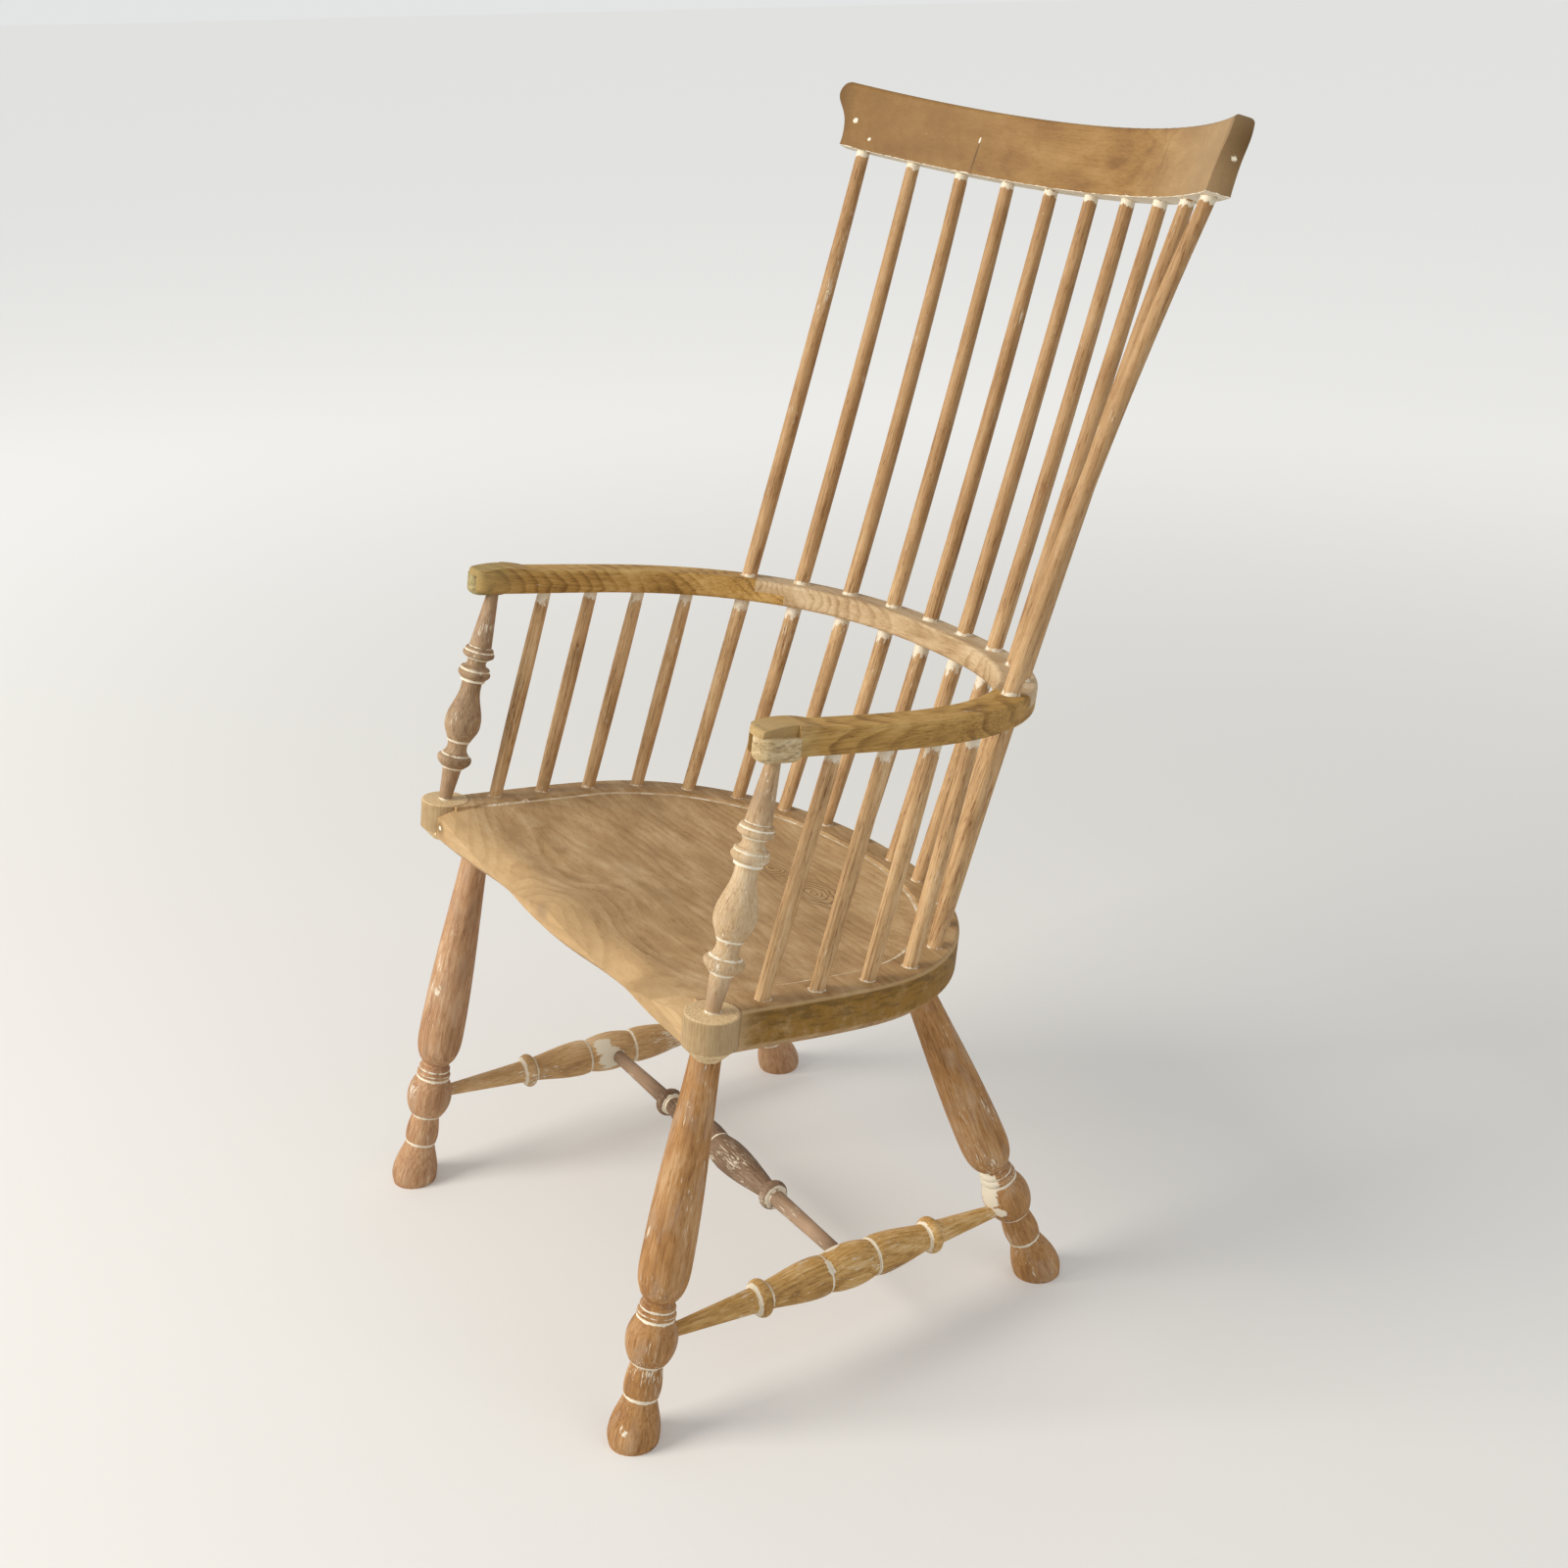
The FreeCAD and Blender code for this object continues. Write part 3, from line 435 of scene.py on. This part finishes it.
def rim_grime_and_shade(tree):
    """Dark smudges and the plank's own lines on the edge, and painted shade: they are densest
    just under its upper rim, where the rounded edge shades the side.
    """
    outside, along = seat_line(tree)
    at = millimetres(tree, seat_plane)
    height = add(tree, "SeparateXYZ", {0: at}).outputs["Z"]
    smudge = mottle(tree, at, RIM_SMUDGE, GRIME_NOISE, Detail=5.0, Roughness=0.7)
    # painted shade: the smudges grow denser towards the top of the edge, under the rounded rim
    shade_near_top = add(tree, "MapRange", {0: height, 1: -30.0, 2: -4.0, 3: 0.0, 4: 0.10}, **SOFT)
    smudge = add(tree, "Math", {0: smudge, 1: shade_near_top}, operation="ADD")
    amount = add(tree, "MapRange", {0: smudge, 1: 0.50, 2: 0.66, 3: 0.0, 4: 0.6}, **SOFT)
    edge = add(tree, "MapRange", {0: height, 1: -2.0, 2: -4.5, 3: 0.0, 4: 1.0}, **SOFT)
    rim = add(tree, "MapRange", {0: outside, 1: 12.0, 2: 16.0, 3: 0.0, 4: 1.0}, **SOFT)
    return together(tree, "MULTIPLY", [amount, edge, over_bevel(tree, height, 0.3),
                                       behind_corner(tree, along), rim])


def rim_highlight_and_wear(tree):
    """The rounded upper edge of the rim is paler: a painted highlight along it, and rubbing."""
    outside = seat_line(tree)[0]
    height = height_over(tree, seat_plane)
    above = add(tree, "MapRange", {0: height, 1: -4.4, 2: -2.6, 3: 0.0, 4: 0.4}, **SOFT)
    below = add(tree, "MapRange", {0: height, 1: -0.2, 2: -1.2, 3: 0.0, 4: 1.0}, **SOFT)
    rim = add(tree, "MapRange", {0: outside, 1: 15.0, 2: 22.0, 3: 0.0, 4: 1.0}, **SOFT)
    return together(tree, "MULTIPLY", [rim, below, above])


def corner_bleach(tree):
    """Streaky end grain of the round front corners, paler than the plank."""
    at = millimetres(tree, seat_plane)
    gap = nearest(tree, at, SEAT_CORNERS)
    streak = mottle(tree, at, CORNER_STREAK, Detail=3.0)
    here = add(tree, "MapRange", {0: gap, 1: 24.0, 2: 28.0, 3: 1.0, 4: 0.0}, **SOFT)
    amount = add(tree, "MapRange", {0: streak, 1: 0.35, 2: 0.6, 3: 0.2, 4: 0.9}, **SOFT)
    return add(tree, "Math", {0: here, 1: amount}, operation="MULTIPLY")


def corner_line(tree):
    """A dark line where the round front corners meet the plank."""
    gap = nearest(tree, millimetres(tree, seat_plane), SEAT_CORNERS)
    off = add(tree, "Math", {0: gap, 1: CORNER_ROUND}, operation="SUBTRACT")
    off = add(tree, "Math", {0: off}, operation="ABSOLUTE")
    return add(tree, "MapRange", {0: off, 1: 0.2, 2: 1.6, 3: 0.65, 4: 0.0}, **SOFT)


LOOPS = ((-23.5, 111.0, 34.0), (55.6, 115.0, 52.0))    # X, Y and reach in mm
LOOP_WAVE = (30, 30, 30)
LOOP_WAVER = 34.0            # mm
LOOP_FLAT = (1, 1.6, 0)      # longer from side to side than from front to back
LOOP_TURN = 0.75             # radians in each mm, so the loops lie about 8 mm apart


def seat_loops(tree):
    """Closed loops of the figure round two places near the back of the seat."""
    at = millimetres(tree, seat_plane)
    wave = mottle(tree, at, LOOP_WAVE, Detail=2.0)
    kinds = []
    for x, y, reach in LOOPS:
        off = add(tree, "VectorMath", {0: at, 1: (x, y, 0)}, operation="SUBTRACT")
        off = add(tree, "VectorMath", {0: off, 1: LOOP_FLAT}, operation="MULTIPLY")
        gap = add(tree, "VectorMath", {0: off}, operation="LENGTH").outputs["Value"]
        turn = add(tree, "Math", {0: wave, 1: LOOP_WAVER, 2: gap}, operation="MULTIPLY_ADD")
        turn = add(tree, "Math", {0: turn, 1: LOOP_TURN}, operation="MULTIPLY")
        ring = add(tree, "Math", {0: turn}, operation="SINE")
        ring = add(tree, "MapRange", {0: ring, 1: 0.1, 2: 1.0, 3: 0.0, 4: 0.8}, **SOFT)
        fade = add(tree, "MapRange", {0: gap, 1: reach * 0.6, 2: reach, 3: 1.0, 4: 0.0},
                   **SOFT)
        kinds.append(add(tree, "Math", {0: ring, 1: fade}, operation="MULTIPLY"))
    return together(tree, "MAXIMUM", kinds)


def worn_roll(tree):
    """The rolled front edge is worn paler than the dished part."""
    along = seat_line(tree)[1]
    start, end = FRONT_ROLL
    return add(tree, "MapRange", {0: along, 1: start, 2: end, 3: 0.0, 4: 0.38}, **SOFT)


def back_stain(tree):
    """Spindles above the arm rail kept a warmer brown."""
    height = height_over(tree, arm_plane)
    return add(tree, "MapRange", {0: height, 1: 0.0, 2: 120.0, 3: 0.0, 4: 0.38}, **SOFT)


# Tones of the woods in plain light: dark, middle and pale. Paired pieces differ a little,
# because the side that the photograph shows from within kept other traces of its paint.

ELM_SEAT = ("#8f6d43", "#b59367", "#d3b88f")
ELM_COMB = ("#7e5930", "#997341", "#b08c58")
OAK_LEG = {"left": ("#7c5025", "#ae7f4a", "#caa57c"),
           "right": ("#8c6043", "#bb9068", "#d8b898")}
OAK_CROSS = ("#55402e", "#7e644c", "#a28a72")
ASH_STRETCHER = {"left": ("#8a632e", "#c69b5a", "#e8cd9c"),
                 "right": ("#a27c52", "#cda672", "#e6caa2")}
ASH_POST = {"left": ("#84643f", "#c2a37a", "#dcc6a4"),
            "right": ("#755a41", "#a88b6a", "#c8b08e")}
ASH_SPINDLE = ("#7c552f", "#c59f70", "#e4c69a")
ASH_ARM = ("#7f5a26", "#b68c48", "#d8b473")
ASH_BOW = ("#a08058", "#c6a981", "#dec8a4")
ASH_BLOCK = {"left": ("#846841", "#c2a97c", "#dfceaa"),
             "right": ("#6d5d36", "#988a5b", "#b9ac7e")}

# Legs. The turning's grooves are heights in mm over the floor, along the leg.

LEG_FLOOR = {"front": (0.268, -0.231), "back": (0.262, 0.265)}    # X, and Y from the middle
LEG_HEAD = {"front": (0.254, -0.118), "back": (0.205, 0.111)}     # the same, in the seat
LEG_SPAN = (0.0, 480.0)
LEG_PAINT = [(49.5, 3.8, 0.80), (84.5, 3.8, 0.78), (132.3, 4.2, 0.82), (137.0, 2.6, 0.66),
             (141.2, 4.0, 0.78)]
# smears left where the scraper didn't reach: place, half sizes and how solid
LEG_SMEARS = {
    ("back", "left"): [((244.0, 76.0, 124.0), (30, 34, 26), 0.95),
                       ((250.0, 78.0, 106.0), (26, 24, 26), 0.85),
                       ((262.0, 86.0, 92.0), (16, 20, 12), 0.8)],
    ("front", "left"): [((246.0, -322.0, 205.0), (9, 9, 40), 0.62),
                        ((236.0, -300.0, 270.0), (9, 9, 36), 0.58),
                        ((255.0, -330.0, 160.0), (8, 8, 16), 0.6),
                        ((281.0, -366.0, 26.0), (14, 14, 13), 0.52)],
    ("front", "right"): [((-249.0, -310.0, 241.0), (10, 10, 24), 0.5)]}
leg_rings = {"spacing": 3.6, "heart": (38.0, 14.0, 0.0), "loop": 0.03, "waver": 12.0,
             "strength": 0.16}
elsewhere = Matrix.Translation((0.1, 0, 0))    # a part of a pattern that nothing else shows

for side, sign in SIDES:
    for end in ("front", "back"):
        x, y = LEG_FLOOR[end]
        foot = Vector((sign * x, CHAIR_MIDDLE + y, 0))
        x, y = LEG_HEAD[end]
        head = seat_plane @ Vector((sign * x, y, 0))
        place = upright(foot, head)
        smears = [splash(*smear) for smear in LEG_SMEARS.get((end, side), [])]
        # open-pored oak: short dark lines along the leg, whitened by paint in the pores
        dress(f"leg_{end}_{side}", stripped_wood(
            f"stripped_oak_leg_{end}_{side}", place, OAK_LEG[side], leg_rings,
            (1.8, 34.0, 1.0), paint=[rings_along(place, LEG_SPAN, LEG_PAINT)] + smears,
            wash=0.7, cloudy=1.3,
            stains=[(patches(place, (16, 16, 45), 0.5), "#b3967a"),
                    (patches(place @ elsewhere, (7, 7, 50), 0.35), "#7d5636")]))

# Stretchers. Their beads and scored lines are counted in mm from the middle ball.

STRETCHER_SPAN = (-240.0, 240.0)
STRETCHER_PAINT = [(-111.0, 3.4, 0.74), (-96.5, 3.4, 0.76), (-29.0, 3.4, 0.74),
                   (29.0, 3.4, 0.74), (96.5, 3.4, 0.76), (111.0, 3.4, 0.74)]
# paint round the tenon of the cross stretcher, on the left; the right has its mirror
JOINT_SMEARS = [((236.0, -105.0, 98.0), (30, 30, 30), 0.70),
                ((243.0, -112.0, 112.0), (22, 22, 22), 0.70),
                ((247.0, -114.6, 117.0), (11, 26, 7), 0.7),
                ((268.0, -127.0, 110.0), (20, 8, 18), 0.66)]
BALL_BACK = 0.007            # the ball lies behind the stretcher's middle, in metres
stretcher_rings = {"spacing": 3.8, "heart": (30.0, 8.0, 0.0), "loop": 0.03, "waver": 10.0,
                   "strength": 0.16}
for side, sign in SIDES:
    front, back = sorted(centre_line(f"stretcher_{side}"), key=lambda end: end.y)
    ball = (front + back) / 2 + (back - front).normalized() * BALL_BACK
    place = upright(ball, back)
    smears = [splash((x * sign, y, z), reach, strength)
              for (x, y, z), reach, strength in JOINT_SMEARS]
    # ash turned and stripped: yellower, with cream left in the scored lines
    dress(f"stretcher_{side}", stripped_wood(
        f"stripped_ash_stretcher_{side}", place, ASH_STRETCHER[side], stretcher_rings,
        (1.8, 34.0, 0.9), wash=0.9, cloudy=1.4,
        paint=[rings_along(place, STRETCHER_SPAN, STRETCHER_PAINT)] + smears))

CROSS_PAINT = [(-119.0, 3.2, 0.72), (-104.5, 3.4, 0.76), (0.0, 3.0, 0.72),
               (104.5, 3.4, 0.76), (119.0, 3.2, 0.72)]
THIN_ENDS = [(-190.0, 75.0, 0.6), (190.0, 75.0, 0.6)]
low, high = centre_line("stretcher_middle")
place = upright((low + high) / 2, high if high.x > low.x else low)
# greyer oak, darkest in the middle, that kept more paint in its pores; pinkish thin ends
dress("stretcher_middle", stripped_wood(
    "stripped_oak_cross_stretcher", place, OAK_CROSS, stretcher_rings, (1.8, 34.0, 1.0),
    paint=[rings_along(place, STRETCHER_SPAN, CROSS_PAINT)], wash=0.8, cloudy=1.4,
    stains=[(rings_along(place, STRETCHER_SPAN, THIN_ENDS), "#c0a184")]))

# Arm posts. Heights are in mm over the seat, along the post.

POST_SPAN = (-20.0, 260.0)
POST_PAINT = [(0.0, 4.0, 0.6), (37.0, 3.0, 0.76), (52.5, 2.4, 0.6), (68.3, 3.2, 0.70),
              (138.0, 3.6, 0.80), (150.0, 2.6, 0.70), (162.5, 2.8, 0.66),
              (171.5, 2.6, 0.66), (175.5, 2.2, 0.6)]
POST_ENDS = [(14.0, 30.0, 0.42), (200.0, 40.0, 0.3)]
POST_TENON = 0.020           # metres inside the seat
post_rings = {"spacing": 3.2, "heart": (26.0, 9.0, 0.0), "loop": 0.03, "waver": 10.0,
              "strength": 0.14}
for side, sign in SIDES:
    low, high = centre_line(f"arm_post_{side}")
    foot = low + (high - low).normalized() * POST_TENON
    place = upright(foot, high)
    # pale ash with much cream in the grooves of the turning, browner at both ends
    dress(f"arm_post_{side}", stripped_wood(
        f"stripped_ash_arm_post_{side}", place, ASH_POST[side], post_rings,
        (1.6, 26.0, 1.0), paint=[rings_along(place, POST_SPAN, POST_PAINT)], wash=0.7,
        cloudy=1.4, stains=[(rings_along(place, POST_SPAN, POST_ENDS), "#94735a"),
                            (patches(place, (12, 12, 26), 0.4), "#ab9176")]))

# Spindles, with paint where they enter the seat, the arm rail and the comb

seat_caps = rings_along(seat_plane, (-20.0, 60.0), [(0.0, 9.0, 0.46)])
rail_caps = rings_along(arm_plane, (-120.0, 60.0),
                        [(-ARM_THICK - 2.0, 36.0, 0.57), (2.0, 24.0, 0.50)])
comb_caps = rings_along(comb_plane, (-60.0, 20.0), [(-3.0, 11.0, 0.60)])
spindle_rings = {"spacing": 3.0, "heart": (17.0, 5.0, 0.0), "loop": 0.01, "waver": 6.0,
                 "strength": 0.14}
for node in LONG + SHORT:
    low, high = centre_line(node)
    # straight-grained ash, shaved round: long fine lines and cream at every joint
    dress(node, stripped_wood(
        f"stripped_ash_{node}", upright(low, high), ASH_SPINDLE, spindle_rings,
        (1.5, 60.0, 1.2), paint=[seat_caps, rail_caps, comb_caps], wash=0.45,
        stains=[(back_stain, "#94683a")], cloudy=0.9))

on_seat = [crossing(node, seat_plane) for node in LONG + SHORT + POSTS]
under_rail = [crossing(node, arm_plane, -ARM_THICK) for node in LONG + SHORT]
over_rail = [crossing(node, arm_plane) for node in LONG]
under_comb = [crossing(node, comb_plane) for node in LONG]

# Seat, with a knocked place with paint in it on its right-hand corner and on the pommel

CORNER_KNOCK = (-265.6, -286.5, 426.2)
POMMEL_KNOCK = (-11.8, -285.9, 428.4)
seat_grain = seat_plane @ across
seat_rings = {"spacing": 8.5, "heart": (95.0, -60.0, 0.0), "loop": 0.16, "waver": 30.0,
              "strength": 0.20}
# elm plank, grain from side to side, dished and worn paler than its rim
dress("seat", stripped_wood(
    "stripped_elm_seat", seat_grain, ELM_SEAT, seat_rings, (3.6, 60.0, 0.42),
    paint=[collars(seat_plane, 0.0, on_seat, 9.5, 0.52), groove_paint,
           splash(CORNER_KNOCK, (5, 5, 4), 0.9), splash(POMMEL_KNOCK, (9, 6, 3), 0.5)],
    wash=0.1, cloudy=1.1,
    stains=[(worn_roll, "#d2b080"), (patches(seat_grain, (34, 34, 90), 0.28), "#7f623c"),
            # the dark smudges on the seat's edge are partly painted shade under its upper rim
            (seat_loops, "#7a5a36"), (rim_stain, "#8f6719"), (rim_grime_and_shade, "#5c4316"),
            # the pale band along the rim's rounded upper edge is partly a painted highlight
            (rim_highlight_and_wear, "#d4b383"), (corner_bleach, "#e4ca9c"), (corner_line, "#6b4f2c"),
            (groove_dust, "#dcc9a6"), (splash(CORNER_KNOCK, (13, 13, 12), 0.9), "#86683f"),
            (splash(POMMEL_KNOCK, (18, 12, 12), 0.6), "#93785a")]))

# Comb, with paint left in its nail holes and at the head of its crack

COMB_HOLES = [((-284.8, 268.3, 1138.0), (5, 9, 5), 0.75),
              ((-264.8, 273.2, 1119.4), (3, 9, 3), 0.75),
              ((-138.5, 329.6, 1123.8), (2, 9, 6), 0.8),
              ((307.0, 270.0, 1138.0), (8, 9, 12), 0.62)]
# the browner right half, the greyer left end, the crack, a faint mark and both dark ends
COMB_STAINS = [((-260.0, 280.0, 1120.0), (330, 200, 200), 0.6, "#85602e"),
               ((300.0, 280.0, 1120.0), (200, 200, 200), 0.5, "#b69c78"),
               ((-137.7, 322.0, 1107.0), (1.4, 40, 24), 1.0, "#5c4326"),
               ((155.0, 325.0, 1125.0), (2.0, 40, 40), 0.5, "#7d5f3d"),
               ((330.0, 275.0, 1130.0), (42, 80, 110), 1.0, "#553a0c"),
               ((-330.0, 275.0, 1130.0), (42, 80, 110), 1.0, "#553a0c")]
comb_rings = {"spacing": 7.0, "heart": (-40.0, 70.0, 0.0), "loop": 0.10, "waver": 22.0,
              "strength": 0.14}
# finer elm with a silky, slightly flamed face
dress("comb", stripped_wood(
    "stripped_elm_comb", comb_plane @ across, ELM_COMB, comb_rings, (2.6, 50.0, 0.6),
    paint=[collars(comb_plane, 0.0, under_comb, 10.0)]
    + [splash(*hole) for hole in COMB_HOLES]
    + [rings_along(comb_plane, (-20.0, 20.0), [(0.0, 3.0, 0.52)])],
    wash=0.05, cloudy=1.5,
    stains=[(splash(where, reach, strength), colour)
            for where, reach, strength, colour in COMB_STAINS]))

# Arm rail in three pieces, and the blocks under its hands

ARM_OUT = 0.28               # metres from the middle to each arm
ARM_RISE = 4.0               # degrees that each arm's grain runs out of the rail's plane
HAND = (300.0, -214.0, 700.0)
arm_figure = {"left": ((6.0, -13.0, -200.0), 0.05), "right": ((4.0, -23.0, 125.0), 0.11)}
hand_tint = {"left": (0.6, "#b09a70"), "right": (0.55, "#958a5c")}
rail_paint = [collars(arm_plane, 0.0, over_rail, 11.0),
              collars(arm_plane, -ARM_THICK, under_rail, 11.0)]
for side, sign in SIDES:
    grain = arm_plane @ Matrix.Translation((sign * ARM_OUT, 0, 0)) @ Matrix.Rotation(
        math.radians(90 + ARM_RISE * sign), 4, "X")
    heart, loop = arm_figure[side]
    arm_rings = {"spacing": 1.9, "heart": heart, "loop": loop, "flat": 0.2, "waver": 7.0,
                 "strength": 0.30}
    worn, tint = hand_tint[side]
    x, y, z = HAND
    # sawn ash arm, olive and ochre, with bold pointed loops; its hand is worn and greyer
    dress(f"arm_rail_{side}", stripped_wood(
        f"stripped_ash_arm_{side}", grain, ASH_ARM, arm_rings, (2.0, 50.0, 0.9),
        paint=rail_paint, wash=0.15,
        stains=[(splash((sign * x, y, z), (60, 62, 60), worn), tint)]))
    # a block of the same ash under the hand, its rough split faces still whitened
    dress(f"hand_block_{side}", stripped_wood(
        f"stripped_ash_hand_block_{side}", grain, ASH_BLOCK[side], post_rings,
        (4.0, 9.0, 1.4), wash=0.55, bumps=6.0,
        stains=[(patches(grain, (7, 4, 9), 0.55), "#75593a")]))

bow_rings = {"spacing": 5.5, "heart": (30.0, 40.0, 0.0), "loop": 0.14, "waver": 30.0,
             "strength": 0.32}
# the paler, pinker back piece of the arm rail
dress("arm_rail_back", stripped_wood(
    "stripped_ash_bow", arm_plane @ across, ASH_BOW, bow_rings, (2.0, 50.0, 0.9),
    paint=rail_paint, wash=0.5))

# Floor and sky

BACKGROUND = "#eceded"       # what the camera sees far from the chair
SKY_LIGHT = 0.60
SKY_SEEN = 0.92
FLOOR_NEAR, FLOOR_FAR = 1.0, 4.5    # metres from the chair
LIFT_NEAR, LIFT_FAR = 0.12, 0.46

bpy.ops.object.select_all(action="DESELECT")
bpy.ops.mesh.primitive_plane_add(size=90.0, location=(0, 0, 0))
floor = bpy.context.object
floor.name = "floor"
paper = bpy.data.materials.new("matt_paper_floor")
paper.use_nodes = True
tree = paper.node_tree
tree.nodes.clear()
matt = add(tree, "BsdfDiffuse", {"Color": linear("#dedcd8")})
# far from the lamps the camera, and nothing else, sees the paper as pale as near the chair
seen = add(tree, "LightPath").outputs["Is Camera Ray"]
own = add(tree, "TexCoord").outputs["Object"]
away = add(tree, "VectorMath", {0: own}, operation="LENGTH").outputs["Value"]
far = add(tree, "MapRange", {0: away, 1: FLOOR_NEAR, 2: FLOOR_FAR, 3: LIFT_NEAR,
                             4: LIFT_FAR}, **SOFT)
lift = add(tree, "Math", {0: far, 1: seen}, operation="MULTIPLY")
glow = add(tree, "Emission", {"Color": linear(BACKGROUND), "Strength": lift})
both = add(tree, "AddShader", {0: matt, 1: glow})
add(tree, "OutputMaterial", {"Surface": both})
floor.data.materials.append(paper)

world = bpy.data.worlds.new("studio")
bpy.context.scene.world = world
world.use_nodes = True
tree = world.node_tree
tree.nodes.clear()
seen = add(tree, "LightPath").outputs["Is Camera Ray"]
strength = add(tree, "MapRange", {0: seen, 3: SKY_LIGHT, 4: SKY_SEEN})
sky = add(tree, "Background", {"Color": linear(BACKGROUND), "Strength": strength})
add(tree, "OutputWorld", {"Surface": sky})


# Lamps and camera

def window(name, place, aim, wide, watts, colour):
    """A large soft light that faces a point."""
    light = bpy.data.lights.new(name, "AREA")
    light.shape = "SQUARE"
    light.size = wide
    light.energy = watts
    light.color = linear(colour)[:3]
    lamp = bpy.data.objects.new(name, light)
    lamp.location = place
    lamp.rotation_euler = (Vector(aim) - Vector(place)).to_track_quat("-Z", "Y").to_euler()
    bpy.context.scene.collection.objects.link(lamp)


chest = (0.0, 0.0, 0.6)
window("key", place=(-1.0, -4.2, 2.9), aim=chest, wide=2.4, watts=212.0, colour="#fffaf2")
window("fill", place=(3.2, 0.8, 2.0), aim=chest, wide=2.2, watts=16.0, colour="#f6f8ff")

# the photograph's camera, solved from the chair's own symmetry and its four feet
FOCAL, IMAGE_WIDE = 2100, 1600    # pixels
ROUND, DOWN, TILT = 58.18, 22.04, -0.48    # degrees, the first from the front
STANDS = (1.690, -0.937 + CHAIR_MIDDLE, 1.312)
lens = bpy.data.cameras.new("camera")
lens.sensor_width = 36.0
lens.lens = lens.sensor_width * FOCAL / IMAGE_WIDE
lens.clip_end = 200.0
camera = bpy.data.objects.new("camera", lens)
view = (Matrix.Rotation(math.radians(ROUND), 4, "Z")
        @ Matrix.Rotation(math.radians(90 - DOWN), 4, "X")
        @ Matrix.Rotation(math.radians(TILT), 4, "Z"))
camera.rotation_euler = view.to_euler()
camera.location = STANDS
bpy.context.scene.collection.objects.link(camera)
bpy.context.scene.camera = camera
bpy.context.scene.view_settings.view_transform = "Standard"
